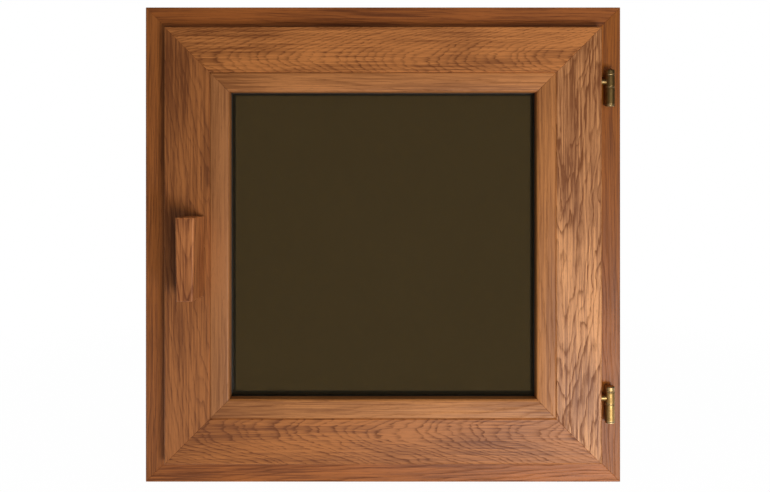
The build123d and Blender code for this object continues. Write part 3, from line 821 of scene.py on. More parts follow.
def bronzeGlassMaterial():
    material, tree, shader = newMaterial("bronze glass")
    place = addNode(tree, "ShaderNodeTexCoord").outputs["Object"]
    clouds = noise(tree, place, bronzeGlassValues["cloudScale"], 2.0)
    tint = mixColour(tree, clouds, colour(*bronzeGlassValues["tint"]), colour(*bronzeGlassValues["tintDeep"]))
    feed(tree, shader.inputs["Base Color"], tint)
    shader.inputs["Roughness"].default_value = 0.0
    shader.inputs["IOR"].default_value = 1.5
    shader.inputs["Transmission Weight"].default_value = bronzeGlassValues["clear"]
    shader.inputs["Specular IOR Level"].default_value = bronzeGlassValues["reflection"]
    return material


bronzeGlass = bronzeGlassMaterial()
print("metals, rubbers and glass ready")

# widths run inwards from the outer edge: the land is the bare face and the stop is what the sash shuts on
frameSizes = {
    "land": 33.0, "stop": 48.0, "rebateY": 3.5, "edgeRound": 1.2, "smallRound": 0.4, "mitreArris": 0.3,
    "dowelInset": 16.5, "dowelDepths": (-20.0, 20.0), "dowelRadius": 4.05, "dowelReach": 14.1,
    "fixings": {"left": 90.0, "right": 120.0}, "fixingY": -10.0, "fixingRadius": 3.25,
    "headRadius": 6.5, "headDepth": 7.0, "headEdge": 0.5, "brokenEdge": 0.4,
}


def frameOutline():
    sizes = frameSizes
    return roundedOutline([
        (0.0, frontY, sizes["edgeRound"]),
        (sizes["land"], frontY, sizes["edgeRound"]),
        (sizes["land"], sizes["rebateY"], 0.0),
        (sizes["stop"], sizes["rebateY"], sizes["smallRound"]),
        (sizes["stop"], backY, sizes["edgeRound"]),
        (0.0, backY, sizes["edgeRound"]),
    ])


def dowelShells(side, inset, depths, radius, reach):
    place = sidePlace(side, inset)
    end = sideReach(side, inset)
    shells = []
    for along in (-end, end):
        start = Vector(place(0.0, 0.0, along))
        inwards = Vector(place(1.0, 0.0, along)) - start
        outwards = (Vector(place(0.0, 0.0, along)) - Vector(place(0.0, 0.0, 0.0))).normalized()
        direction = (inwards - outwards).normalized()
        across = Vector((direction.z, 0.0, -direction.x))
        for y in depths:
            centre = Vector((start.x, y, start.z)) - across * reach
            shells.append(roundBore(centre, across, radius, 2 * reach, 24))
    return shells


def fixingShells(side):
    # through hole with a counterbore on the rebate side, both with a broken edge
    sizes = frameSizes
    place = sidePlace(side, sizes["land"])
    edge = sizes["brokenEdge"]
    headEdge = sizes["headEdge"]
    shells = []
    for along in (middleZ - sizes["fixings"][side], sizes["fixings"][side] - middleZ):
        start = Vector(place(0.0, sizes["fixingY"], along))
        outwards = start - Vector(place(1.0, sizes["fixingY"], along))
        profile = [
            (sizes["headRadius"] + headEdge, -edge, 0.0),
            (sizes["headRadius"] + headEdge, 0.0, 0.0),
            (sizes["headRadius"], headEdge, 0.0),
            (sizes["headRadius"], sizes["headDepth"], 0.0),
            (sizes["fixingRadius"], sizes["headDepth"], 0.0),
            (sizes["fixingRadius"], sizes["land"] - edge, 0.0),
            (sizes["fixingRadius"] + edge, sizes["land"], 0.0),
            (sizes["fixingRadius"] + edge, sizes["land"] + edge, 0.0),
        ]
        shells.append(lathe(start, outwards, profile, 32))
    return shells


# the knuckles' ends, the pin and the washer are measured from the split between the two knuckles
hingeSizes = {
    "radius": 5.0, "bore": 2.55, "boreEdge": 0.2, "chamfer": 0.45, "chamferShare": 0.35, "lipEdgeX": 227.0,
    "studRadius": 3.0, "studHole": 3.05, "studOffset": 6.8, "studDepth": 30.0, "studStart": 3.6,
    "studCollar": 2.6, "studPitch": 2.2, "studThread": 0.55, "drillPast": 0.1,
    "frameKnuckleLow": -17.5, "sashKnuckleLow": 1.1, "sashKnuckleHigh": 13.0,
    "pinRadius": 2.5, "pinEdge": 0.4, "pinLow": -12.0, "pinHigh": 9.0,
    "washerRadius": 4.95, "washerHeight": 1.0, "washerEdge": 0.2,
}


def hingesFromNodes():
    # the axis and the two splits are where the CAD washers sit
    splits = {}
    for level in ("upper", "lower"):
        low, high = nodeBox(level + "_hinge_washer")
        splits[level] = low.z
    hingeSizes.update(x=(low.x + high.x) / 2, y=(low.y + high.y) / 2, splits=splits)


hingesFromNodes()


def studPlace(body, split):
    # where a stud starts, which way it goes and how far it stands clear of the timber
    sizes = hingeSizes
    if body == "sash":
        start = Vector((sizes["x"], sizes["y"], split + sizes["studOffset"]))
        return start, Vector((-1, 0, 0)), sizes["x"] - sizes["lipEdgeX"]
    start = Vector((sizes["x"], sizes["y"], split - sizes["studOffset"]))
    return start, Vector((0, 1, 0)), frontY - sizes["y"]


def studHoleShells(body):
    shells = []
    for split in hingeSizes["splits"].values():
        start, direction, clear = studPlace(body, split)
        length = clear + hingeSizes["studDepth"] + hingeSizes["drillPast"]
        shells.append(roundBore(start, direction, hingeSizes["studHole"], length))
    return shells


catchSizes = {
    "x": -196.0, "y": -18.0, "z": 250.0, "pocketX": -227.0, "slotZ": (223.5, 257.4), "slotHalf": 3.0,
    "edgeSlotZ": (223.5, 256.2), "edgeSlotHalf": 3.0, "slotRound": 0.8, "plateRound": 0.5, "plateArris": 0.25,
    "caseHalf": 4.5, "clearance": 0.2, "boreY": -51.0, "bushBore": 9.05, "bushDepth": 7.0,
    "spindleBore": 6.0, "boreDepth": 33.0,
}
# the hole that a screw sinks into, then the screw itself, as (radius, depth, worn)
screwSizes = {
    "endInset": 6.0,
    "hole": [(3.75, 0.0, 0.0), (3.75, 0.2, 0.0), (1.85, 2.1, 0.0), (1.85, 14.2, 0.0), (0.0, 16.4, 0.0)],
    "holeStart": 0.2,
    "head": [
        (0.0, 0.0, 0.1), (3.2, 0.0, 0.5), (3.5, 0.25, 1.0), (1.7, 2.0, 0.0), (1.5, 3.2, 0.0), (0.0, 3.2, 0.0),
    ],
    "shankStart": 2.2, "shankRadius": 1.7, "shankLength": 13.8, "plain": 1.2, "pitch": 1.3, "thread": 0.4,
    "crossRecess": [(-0.3, 1.75, 0.36), (0.3, 1.55, 0.34), (1.5, 0.45, 0.22)],  # depth, reach, half width
}


def catchFromNodes():
    # plate and case sizes are read from the frame, so the recesses fit them
    keepLow, keepHigh = nodeBox("keep_plate")
    edgeLow, edgeHigh = nodeBox("latch_edge_plate")
    caseLow, caseHigh = nodeBox("latch_case")
    catchSizes.update(
        keepX=(keepLow.x, keepHigh.x),
        keepZ=(keepLow.z, keepHigh.z),
        edgeX=(edgeLow.x, edgeHigh.x),
        edgeZ=(edgeLow.z, edgeHigh.z),
        caseX=caseHigh.x,
        caseZ=(caseLow.z, caseHigh.z),
        plateHalf=(keepHigh.y - keepLow.y) / 2,
    )


catchFromNodes()


def screwHoleShells(x, direction, heights):
    start = x - direction * screwSizes["holeStart"]
    return [lathe((start, catchSizes["y"], z), (direction, 0, 0), screwSizes["hole"], 24) for z in heights]


def screwHeights(plateEnds):
    low, high = catchSizes[plateEnds]
    return low + screwSizes["endInset"], high - screwSizes["endInset"]


def plateRecess(xs, zs):
    y = catchSizes["y"]
    half = catchSizes["plateHalf"]
    return boxShell((xs[0], y - half, zs[0]), (xs[1], y + half, zs[1]))


def clearPocket(xs, half, zs):
    # a pocket in the timber with a little room round what it takes
    y = catchSizes["y"]
    room = catchSizes["clearance"]
    return boxShell((xs[0], y - half - room, zs[0] - room), (xs[1], y + half + room, zs[1] + room))


def latchJambShells():
    sizes = catchSizes
    outer, inner = sizes["keepX"]
    recess = plateRecess((outer, inner + overshoot), sizes["keepZ"])
    pocket = clearPocket((sizes["pocketX"], outer + overshoot / 2), sizes["slotHalf"], sizes["slotZ"])
    return [recess], [pocket] + screwHoleShells(inner, -1, screwHeights("keepZ"))


frameMembers = {
    "top": ("frameHead", "frame_head"),
    "bottom": ("frameSill", "frame_sill"),
    "left": ("frameLatchJamb", "frame_latch_jamb"),
    "right": ("frameHingeJamb", "frame_hinge_jamb"),
}
for side, (name, node) in frameMembers.items():
    member = workObject(name, mitredShell(side, 0.0, frameOutline(), frameSizes["mitreArris"]))
    cuts = dowelShells(side, frameSizes["dowelInset"], frameSizes["dowelDepths"], frameSizes["dowelRadius"],
                       frameSizes["dowelReach"])
    if side in ("left", "right"):
        cuts += fixingShells(side)
    if side == "right":
        cuts += studHoleShells("frame")
    cutWith(member, cuts)
    if side == "left":
        for shells in latchJambShells():
            cutWith(member, shells)
    finishPiece(member, timber[node], "frame", [node])
print("frame members ready")

# widths run inwards from the lip's edge: step is the lip, face ends at the bead and sight at the glass
sashSizes = {
    "inset": 23.0, "face": 47.5, "step": 14.0, "sight": 67.5, "splay": 3.5, "frontY": -50.0,
    "lipBackY": -35.5, "glassBackY": -11.0, "backY": 0.0, "edgeRound": 1.8, "backRound": 1.0,
    "smallRound": 0.4, "jointChamfer": 0.8, "jointRound": 0.15, "mitreArris": 0.3,
    "dowelInset": 53.75, "dowelDepths": (-38.0, -14.0),
}


def sashOutline():
    sizes = sashSizes
    chamfer = sizes["jointChamfer"]
    return roundedOutline([
        (0.0, sizes["frontY"], sizes["edgeRound"]),
        (sizes["face"] - chamfer, sizes["frontY"], sizes["jointRound"]),
        (sizes["face"], sizes["frontY"] + chamfer, sizes["jointRound"]),
        (sizes["face"], sizes["glassBackY"], 0.0),
        (sizes["sight"], sizes["glassBackY"], sizes["smallRound"]),
        (sizes["sight"] - sizes["splay"], sizes["backY"], sizes["backRound"]),
        (sizes["step"], sizes["backY"], sizes["backRound"]),
        (sizes["step"], sizes["lipBackY"], 0.0),
        (0.0, sizes["lipBackY"], sizes["smallRound"]),
    ])


pinSizes = {
    "y": -42.5, "radius": 0.85, "grip": 10.05, "length": 24.1, "endDistance": 44.5, "jointInset": 70.5,
}


def pinShells(side):
    place = sidePlace(side, pinSizes["jointInset"])
    outermost = sideReach(side, pinSizes["jointInset"]) - pinSizes["endDistance"]
    shells = []
    for along in (-outermost, -outermost / 3, outermost / 3, outermost):
        start = Vector(place(-pinSizes["grip"], pinSizes["y"], along))
        direction = Vector(place(0.0, pinSizes["y"], along)) - start
        shells.append(roundBore(start, direction, pinSizes["radius"], pinSizes["length"], 12))
    return shells


def latchStileShells():
    sizes = catchSizes
    outer, inner = sizes["edgeX"]
    recess = plateRecess((outer - overshoot, inner), sizes["edgeZ"])
    deepest = sizes["caseX"] + sizes["clearance"]
    mortise = clearPocket((inner - overshoot / 2, deepest), sizes["caseHalf"], sizes["caseZ"])
    bore = lathe((sizes["x"], sizes["boreY"], sizes["z"]), (0, 1, 0), [
        (sizes["bushBore"], 0.0, 0.0), (sizes["bushBore"], sizes["bushDepth"], 0.0),
        (sizes["spindleBore"], sizes["bushDepth"], 0.0), (sizes["spindleBore"], sizes["boreDepth"], 0.0)], 32)
    return [recess], [mortise] + screwHoleShells(outer, 1, screwHeights("edgeZ")), [bore]


sashMembers = {
    "top": ("sashTopRail", "sash_top_rail"),
    "bottom": ("sashBottomRail", "sash_bottom_rail"),
    "left": ("sashLatchStile", "sash_latch_stile"),
    "right": ("sashHingeStile", "sash_hinge_stile"),
}
for side, (name, node) in sashMembers.items():
    member = workObject(name, mitredShell(side, sashSizes["inset"], sashOutline(), sashSizes["mitreArris"]))
    cuts = dowelShells(side, sashSizes["dowelInset"], sashSizes["dowelDepths"], frameSizes["dowelRadius"],
                       frameSizes["dowelReach"])
    cuts += pinShells(side)
    if side == "right":
        cuts += studHoleShells("sash")
    cutWith(member, cuts)
    if side == "left":
        for shells in latchStileShells():
            cutWith(member, shells)
    finishPiece(member, timber[node], "sash", [node])
print("sash members ready")

beadSizes = {
    "inset": 70.65, "width": 19.85, "frontY": -50.0, "backY": -35.0, "flat": 8.35, "fall": 1.6, "nose": 3.0,
    "chamfer": 0.8, "jointRound": 0.15, "backRound": 0.3, "glassRound": 0.4, "mitreArris": 0.3,
}


def beadOutline():
    sizes = beadSizes
    return roundedOutline([
        (0.0, sizes["backY"], sizes["backRound"]),
        (0.0, sizes["frontY"] + sizes["chamfer"], sizes["jointRound"]),
        (sizes["chamfer"], sizes["frontY"], sizes["jointRound"]),
        (sizes["flat"], sizes["frontY"], 0.0),
        (sizes["width"], sizes["frontY"] + sizes["fall"], sizes["nose"]),
        (sizes["width"], sizes["backY"], sizes["glassRound"]),
    ], 6)


beads = {
    "top": ("beadTop", "bead_top"),
    "bottom": ("beadBottom", "bead_bottom"),
    "left": ("beadLatchSide", "bead_latch_side"),
    "right": ("beadHingeSide", "bead_hinge_side"),
}
for side, (name, node) in beads.items():
    bead = workObject(name, mitredShell(side, beadSizes["inset"], beadOutline(), beadSizes["mitreArris"]))
    cutWith(bead, pinShells(side))
    finishPiece(bead, timber[node], "sash", [node])
print("beads ready")

glassSizes = {
    "half": 174.5, "roomY": (-33.0, -29.0), "outerY": (-17.0, -13.0), "cornerRound": 1.5, "arris": 0.45,
}


def paneShell(low, high):
    half = glassSizes["half"]
    outline = roundedRectangle((-half, -half), (half, half), glassSizes["cornerRound"])

    def place(x, z, height):
        return x, low + height, z + middleZ

    return plateShell(outline, high - low, place, glassSizes["arris"])


for name, node, depths in (("roomPane", "room_pane", "roomY"), ("outerPane", "outer_pane", "outerY")):
    pane = workObject(name, paneShell(*glassSizes[depths]))
    finishPiece(pane, bronzeGlass, "sash", [node])

gasketSizes = {
    "inset": 70.65, "width": 20.9, "lipRound": 0.85, "backRound": 0.3, "roomY": (-35.0, -33.0),
    "outerY": (-13.0, -11.0),
}


def ringShell(inset, outline):
    # a moulding run right round, mitred at the four corners, as one closed loop
    rings = []
    for cornerX, cornerZ in ((-1, -1), (1, -1), (1, 1), (-1, 1)):
        halfWidth = windowWidth / 2 - inset
        halfHeight = windowHeight / 2 - inset
        rings.append([((cornerX * (halfWidth - x), y, middleZ + cornerZ * (halfHeight - x)), worn)
                      for x, y, worn in outline])
    return loftRings(rings, closed=True)


def gasketOutline(low, high):
    # the lip that shows beside the bead is rounded
    width = gasketSizes["width"]
    lip = gasketSizes["lipRound"]
    back = gasketSizes["backRound"]
    return roundedOutline([(0.0, low, back), (width, low, lip), (width, high, lip), (0.0, high, back)], 5)


for name, node, depths in (("roomGasket", "room_gasket", "roomY"), ("outerGasket", "outer_gasket", "outerY")):
    gasket = workObject(name, ringShell(gasketSizes["inset"], gasketOutline(*gasketSizes[depths])))
    finishPiece(gasket, finish["gasketRubber"], "sash", [node])

sealSizes = {
    "inset": 36.0, "width": 9.0, "rebateY": 3.5, "base": 1.0, "edge": 0.4, "edgeHeight": 0.3,
    "bulbRadius": 1.95, "bulbY": 2.3, "bulbSteps": 14, "mitreArris": 0.1,
}


def sealOutline():
    # a flat foot with a round bulb that the sash closes against
    sizes = sealSizes
    width = sizes["width"]
    edge = sizes["edge"]
    backY = sizes["rebateY"]
    footY = backY - sizes["base"]
    shoulderY = footY + sizes["edgeHeight"]
    drop = footY - sizes["bulbY"]
    halfFoot = sqrt(sizes["bulbRadius"] ** 2 - drop ** 2)
    startAngle = pi - atan(drop / halfFoot)
    endAngle = tau + atan(drop / halfFoot)
    outline = [(0.0, backY, 0.0), (0.0, shoulderY, 0.3), (edge, footY, 0.5)]
    for step in range(sizes["bulbSteps"] + 1):
        angle = startAngle + (endAngle - startAngle) * step / sizes["bulbSteps"]
        across = width / 2 + cos(angle) * sizes["bulbRadius"]
        outline.append((across, sizes["bulbY"] + sin(angle) * sizes["bulbRadius"], 0.4))
    outline += [(width - edge, footY, 0.5), (width, shoulderY, 0.3), (width, backY, 0.0)]
    return outline


for side in ("top", "bottom", "left", "right"):
    seal = workObject("weatherseal" + side.capitalize(),
                      mitredShell(side, sealSizes["inset"], sealOutline(), sealSizes["mitreArris"], 2))
    finishPiece(seal, finish["sealRubber"], "frame", ["frame_seal_" + side])
print("glass, gaskets and weatherseal ready")


def barrelProfile(low, high):
    # a bored barrel whose outer corners are eased in three steps
    radius, bore, chamfer = hingeSizes["radius"], hingeSizes["bore"], hingeSizes["chamfer"]
    edge = hingeSizes["boreEdge"]
    part = chamfer * hingeSizes["chamferShare"]
    lower = [
        (bore, low + edge, 0.0), (bore + edge, low, 0.2), (radius - chamfer, low, 0.5),
        (radius - part, low + part, 1.0), (radius, low + chamfer, 0.6), (radius, low + chamfer * 2, 0.0),
    ]
    upper = [
        (radius, high - chamfer * 2, 0.0), (radius, high - chamfer, 0.6), (radius - part, high - part, 1.0),
        (radius - chamfer, high, 0.5), (bore + edge, high, 0.2), (bore, high - edge, 0.0),
    ]
    return lower + upper


# the caps as (radius, height above the knuckle's end, worn)
capProfiles = {
    # a spigot, then a domed cap with a turned groove over its skirt
    "top": [
        (0.0, -3.0, 0.0), (2.2, -3.0, 0.3), (2.5, -2.7, 0.3), (2.5, 0.0, 0.0), (4.55, 0.0, 0.4),
        (5.0, 0.45, 1.0), (5.0, 1.0, 0.7), (4.7, 1.25, 0.2), (4.7, 1.65, 0.0), (5.0, 1.9, 0.7),
        (5.0, 4.6, 0.3), (4.93, 5.2, 0.8), (4.6, 5.8, 1.0), (4.0, 6.22, 0.8), (3.0, 6.42, 0.4),
        (1.5, 6.5, 0.2), (0.0, 6.5, 0.2),
    ],
    # a low button with its spigot above
    "end": [
        (0.0, -2.0, 0.1), (3.6, -2.0, 0.3), (4.4, -1.9, 0.8), (4.9, -1.5, 1.0), (5.0, -1.0, 0.8),
        (5.0, -0.4, 0.9), (4.7, 0.0, 0.6), (2.5, 0.0, 0.0), (2.5, 2.7, 0.3), (2.2, 3.0, 0.3), (0.0, 3.0, 0.0),
    ],
}


def hingeTurned(name, profile, hollow=False, segments=48):
    # a piece turned on the hinge's axis
    turned = ringLathe if hollow else lathe
    return workObject(name, turned((hingeSizes["x"], hingeSizes["y"], 0.0), (0, 0, 1), profile, segments))


def hingeKnuckle(name, node, body, split, low, high):
    sizes = hingeSizes
    piece = hingeTurned(name, barrelProfile(low, high), True)
    start, direction, clear = studPlace(body, split)
    # the stud starts in the barrel's wall and is plain up to the timber, then it has a wood thread
    stud = threadedRod(start + direction * sizes["studStart"], direction, sizes["studRadius"],
                       clear + sizes["studDepth"] - sizes["studStart"], clear - sizes["studCollar"],
                       sizes["studPitch"], sizes["studThread"])
    cutWith(piece, [stud], "UNION")
    finishPiece(piece, finish["agedBrass"], body, [node], 40)


def hingePin(split):
    sizes = hingeSizes
    radius, edge = sizes["pinRadius"], sizes["pinEdge"]
    low, high = split + sizes["pinLow"], split + sizes["pinHigh"]
    return [(radius - edge, low, 0.6), (radius, low + edge, 0.6), (radius, high - edge, 0.6),
            (radius - edge, high, 0.6)]


def hingeWasher(split):
    sizes = hingeSizes
    radius, edge, high = sizes["washerRadius"], sizes["washerEdge"], split + sizes["washerHeight"]
    return [(sizes["bore"], split, 0.0), (radius - edge, split, 0.6), (radius, split + edge, 1.0),
            (radius, high - edge, 1.0), (radius - edge, high, 0.6), (sizes["bore"], high, 0.0)]


def hingeCap(kind, seat):
    return [(radius, seat + height, worn) for radius, height, worn in capProfiles[kind]]


for level, split in hingeSizes["splits"].items():
    frameLow = split + hingeSizes["frameKnuckleLow"]
    sashLow = split + hingeSizes["sashKnuckleLow"]
    sashHigh = split + hingeSizes["sashKnuckleHigh"]
    hingeKnuckle(level + "HingeFrameKnuckle", level + "_hinge_frame_knuckle", "frame", split, frameLow, split)
    hingeKnuckle(level + "HingeSashKnuckle", level + "_hinge_sash_knuckle", "sash", split, sashLow, sashHigh)
    pin = hingeTurned(level + "HingePin", hingePin(split), segments=32)
    finishPiece(pin, finish["agedBrass"], "frame", [level + "_hinge_pin"])
    washer = hingeTurned(level + "HingeWasher", hingeWasher(split), True)
    finishPiece(washer, finish["agedBrass"], "frame", [level + "_hinge_washer"])
    topCap = hingeTurned(level + "HingeTopCap", hingeCap("top", sashHigh))
    finishPiece(topCap, finish["agedBrass"], "sash", [level + "_hinge_top_cap"], 50)
    endCap = hingeTurned(level + "HingeEndCap", hingeCap("end", frameLow))
    finishPiece(endCap, finish["agedBrass"], "frame", [level + "_hinge_end_cap"], 50)
print("hinges ready")


def screwShell(x, direction, z):
    y = catchSizes["y"]
    sizes = screwSizes
    head = lathe((x, y, z), (direction, 0, 0), sizes["head"], 32)
    shank = threadedRod((x + direction * sizes["shankStart"], y, z), (direction, 0, 0), sizes["shankRadius"],
                        sizes["shankLength"], sizes["plain"], sizes["pitch"], sizes["thread"], 20)
    return head, shank


def crossRecess(x, direction, z):
    # two tapered blades that cross in the head
    y = catchSizes["y"]
    blades = []
    for turned in (False, True):
        rings = []
        for depth, reach, half in screwSizes["crossRecess"]:
            corners = ((-reach, -half), (reach, -half), (reach, half), (-reach, half))
            rings.append([((x + direction * depth, y + (b if turned else a), z + (a if turned else b)), 0.0)
                          for a, b in corners])
        blades.append(loftRings(rings))
    return blades


def screwSet(name, node, body, x, direction, heights):
    shells = [screwShell(x, direction, z) for z in heights]
    recesses = [crossRecess(x, direction, z) for z in heights]
    piece = workObject(name, joinedShells(*[head for head, shank in shells]))
    cutWith(piece, [shank for head, shank in shells], "UNION")
    for blades in zip(*recesses):
        cutWith(piece, blades)
    finishPiece(piece, finish["zincSteel"], body, [node])


def slottedPlate(name, node, body, xs, zs, slotZ, slotHalf, screwX, direction, heights):
    sizes = catchSizes
    y = sizes["y"]
    half = sizes["plateHalf"]
    middle = (zs[0] + zs[1]) / 2
    reach = (zs[1] - zs[0]) / 2
    outline = roundedRectangle((-half, -reach), (half, reach), sizes["plateRound"])
    plate = workObject(name, plateShell(outline, xs[1] - xs[0],
                                        lambda a, b, height: (xs[0] + height, y + a, middle + b),
                                        sizes["plateArris"]))
    slot = roundedRectangle((-slotHalf, slotZ[0]), (slotHalf, slotZ[1]), sizes["slotRound"])
    ends = (xs[0] - overshoot, xs[1] + overshoot)
    slotCut = loftRings([[((x, y + a, b), 0.0) for a, b, worn in slot] for x in ends])
    cutWith(plate, [slotCut] + screwHoleShells(screwX, direction, heights))
    finishPiece(plate, finish["zincSteel"], body, [node])


keepFace = catchSizes["keepX"][1]
edgeFace = catchSizes["edgeX"][0]
slottedPlate("keepPlate", "keep_plate", "frame", catchSizes["keepX"], catchSizes["keepZ"],
             catchSizes["slotZ"], catchSizes["slotHalf"], keepFace, -1, screwHeights("keepZ"))
slottedPlate("latchEdgePlate", "latch_edge_plate", "sash", catchSizes["edgeX"], catchSizes["edgeZ"],
             catchSizes["edgeSlotZ"], catchSizes["edgeSlotHalf"], edgeFace, 1, screwHeights("edgeZ"))
screwSet("keepScrews", "keep_screws", "frame", keepFace, -1, screwHeights("keepZ"))
screwSet("latchScrews", "latch_screws", "sash", edgeFace, 1, screwHeights("edgeZ"))


def easedCopy(name, node, body, material, width):
    # the CAD shape with its sharp edges eased
    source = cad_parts[node].data
    work = bmesh.new()
    work.from_mesh(source)
    bmesh.ops.remove_doubles(work, verts=work.verts, dist=1e-6)
    bmesh.ops.dissolve_limit(work, angle_limit=radians(1.0), verts=work.verts, edges=work.edges)
    mesh = bpy.data.meshes.new(name)
    work.to_mesh(mesh)
    work.free()
    piece = bpy.data.objects.new(name, mesh)
    bpy.context.scene.collection.objects.link(piece)
    ease = piece.modifiers.new("ease", "BEVEL")
    ease.width = width * mm
    ease.segments = 2
    ease.limit_method = "ANGLE"
    ease.angle_limit = radians(40)
    bakeModifiers(piece)
    finishPiece(piece, material, body, [node])


easedCopy("latchCase", "latch_case", "sash", finish["zincSteel"], 0.25)
easedCopy("latchTongue", "latch_tongue", "handle", finish["zincSteel"], 0.3)
easedCopy("handleBush", "handle_bush", "sash", finish["bushBrass"], 0.25)
easedCopy("handleCollar", "handle_collar", "handle", finish["bushBrass"], 0.2)
easedCopy("handleSpindle", "handle_spindle", "handle", finish["zincSteel"], 0.4)
print("catch ready")

gripSizes = {
    "x": -196.0, "z": 250.0, "backY": -51.5, "frontY": -93.0, "backHalf": 11.75, "frontHalf": 9.75,
    "cove": 1.5, "bottomZ": 197.6, "topZ": 281.0, "sideRound": 2.2, "backRound": 0.8, "endRound": 1.3,
    "taper": 0.1, "collarBore": 7.05, "collarDepth": 5.0, "socketHalf": 3.55, "socketY": -76.55,
    "coveSteps": 8, "spans": 9, "endSteps": (0.0, 0.12, 0.35, 0.65, 1.0),
}


def gripOutline(share):
    # share runs from 0 at the bottom to 1 at the top; the grip is a little slimmer at the bottom
    sizes = gripSizes
    slim = 1 - sizes["taper"] * (1 - share)
    corners = [(-sizes["frontHalf"] * slim, sizes["frontY"], sizes["sideRound"]),
               (sizes["frontHalf"] * slim, sizes["frontY"], sizes["sideRound"])]
    side = []
    for step in range(1, sizes["coveSteps"]):
        down = step / sizes["coveSteps"]
        half = sizes["frontHalf"] + (sizes["backHalf"] - sizes["frontHalf"]) * down
        half -= sizes["cove"] * sin(pi * down)
        side.append((half * slim, sizes["frontY"] + (sizes["backY"] - sizes["frontY"]) * down, 0.0))
    corners += side
    corners += [(sizes["backHalf"] * slim, sizes["backY"], sizes["backRound"]),
                (-sizes["backHalf"] * slim, sizes["backY"], sizes["backRound"])]
    corners += [(-x, y, radius) for x, y, radius in reversed(side)]
    return roundedOutline(corners, 5)


def gripShell():
    sizes = gripSizes
    length = sizes["topZ"] - sizes["bottomZ"]
    endRound = sizes["endRound"]
    spans = sizes["spans"]
    stations = [(sizes["bottomZ"] + endRound * step, step) for step in sizes["endSteps"]]
    for span in range(1, spans):
        stations.append((sizes["bottomZ"] + endRound + (length - 2 * endRound) * span / spans, 1.0))
    stations += [(sizes["topZ"] - endRound * step, step) for step in reversed(sizes["endSteps"])]
    rings = []
    for z, step in stations:
        inward = endRound * (1 - sqrt(max(0.0, 1 - (1 - step) ** 2)))
        outline = gripOutline((z - sizes["bottomZ"]) / length)
        if inward > 0:
            outline = shrunkOutline(outline, inward)
        edge = 1.0 if 0 < step < 1 else 0.0
        rings.append([((sizes["x"] + x, y, z), max(worn, edge)) for x, y, worn in outline])
    return loftRings(rings)


grubSizes = {
    "y": -62.0, "hole": 2.05, "holeStart": 3.0, "holeLength": 6.6, "coneEnd": 9.4, "coneRise": 1.2,
    "radius": 1.98, "pastEnd": 2.6, "plain": 0.3, "pitch": 0.7, "thread": 0.2, "trim": 4.0, "trimReach": 6.0,
    "hexRadius": 1.0, "hexStart": 1.0, "hexDepth": 2.8, "hexTip": 3.4,
}


def gripHoles():
    # the collar's bore at the back and the grub screw's hole in the side
    x, z, backY = gripSizes["x"], gripSizes["z"], gripSizes["backY"]
    hole, flare = grubSizes["hole"], grubSizes["hole"] + grubSizes["coneRise"]
    depth = overshoot + gripSizes["collarDepth"]
    return [
        roundBore((x, backY + overshoot, z), (0, -1, 0), gripSizes["collarBore"], depth, 40),
        lathe((x - grubSizes["holeStart"], grubSizes["y"], z), (-1, 0, 0), [
            (hole, 0.0, 0.0), (hole, grubSizes["holeLength"], 0.0), (flare, grubSizes["coneEnd"], 0.0)], 24),
    ]


def spindleSocket():
    x, z, half = gripSizes["x"], gripSizes["z"], gripSizes["socketHalf"]
    openY = gripSizes["backY"] + overshoot
    return boxShell((x - half, gripSizes["socketY"], z - half), (x + half, openY, z + half))


grip = workObject("handleGrip", gripShell())
cutWith(grip, gripHoles())
cutWith(grip, [spindleSocket()])
finishPiece(grip, timber["handle_grip"], "handle", ["handle_grip"], 40)


def makeGrubScrew():
    # a threaded rod cut off flat, with a hexagon socket in the end
    sizes = grubSizes
    low, high = nodeBox("handle_grub_screw")
    y, z, reach = sizes["y"], gripSizes["z"], sizes["trim"]
    length = high.x - low.x + sizes["pastEnd"]
    grub = workObject("handleGrubScrew", threadedRod((high.x, y, z), (-1, 0, 0), sizes["radius"], length,
                                                     sizes["plain"], sizes["pitch"], sizes["thread"]))
    hexProfile = [(sizes["hexRadius"], 0.0, 0.0), (sizes["hexRadius"], sizes["hexDepth"], 0.0),
                  (0.0, sizes["hexTip"], 0.0)]
    outer = low.x - sizes["trimReach"]
    cutWith(grub, [boxShell((outer, y - reach, z - reach), (low.x, y + reach, z + reach))])
    cutWith(grub, [lathe((low.x - sizes["hexStart"], y, z), (1, 0, 0), hexProfile, 6)])
    finishPiece(grub, finish["zincSteel"], "handle", ["handle_grub_screw"])


makeGrubScrew()
print("handle ready")

# nodes that keep the CAD mesh and only take a finish
keptNodes = {
    "frame_corner_dowels": timber["frame_corner_dowels"],
    "sash_corner_dowels": timber["sash_corner_dowels"],
    "bead_pins": finish["zincSteel"],
    "pane_spacer": finish["spacerMetal"],
    "pane_edge_seal": finish["edgeSealant"],
    "setting_blocks": finish["packerPlastic"],
}
for node, material in keptNodes.items():
    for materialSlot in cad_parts[node].material_slots:
        materialSlot.material = material
print("kept CAD nodes:", ", ".join(sorted(keptNodes)))

floorValues = {
    "centre": (0.0, 0.5), "radius": 0.88, "segments": 96, "rings": 10, "white": 0.86, "glow": 0.99,
    "roughness": 0.9, "blendFrom": 0.6, "blendTo": 0.98,  # it turns white between these shares of the radius
}


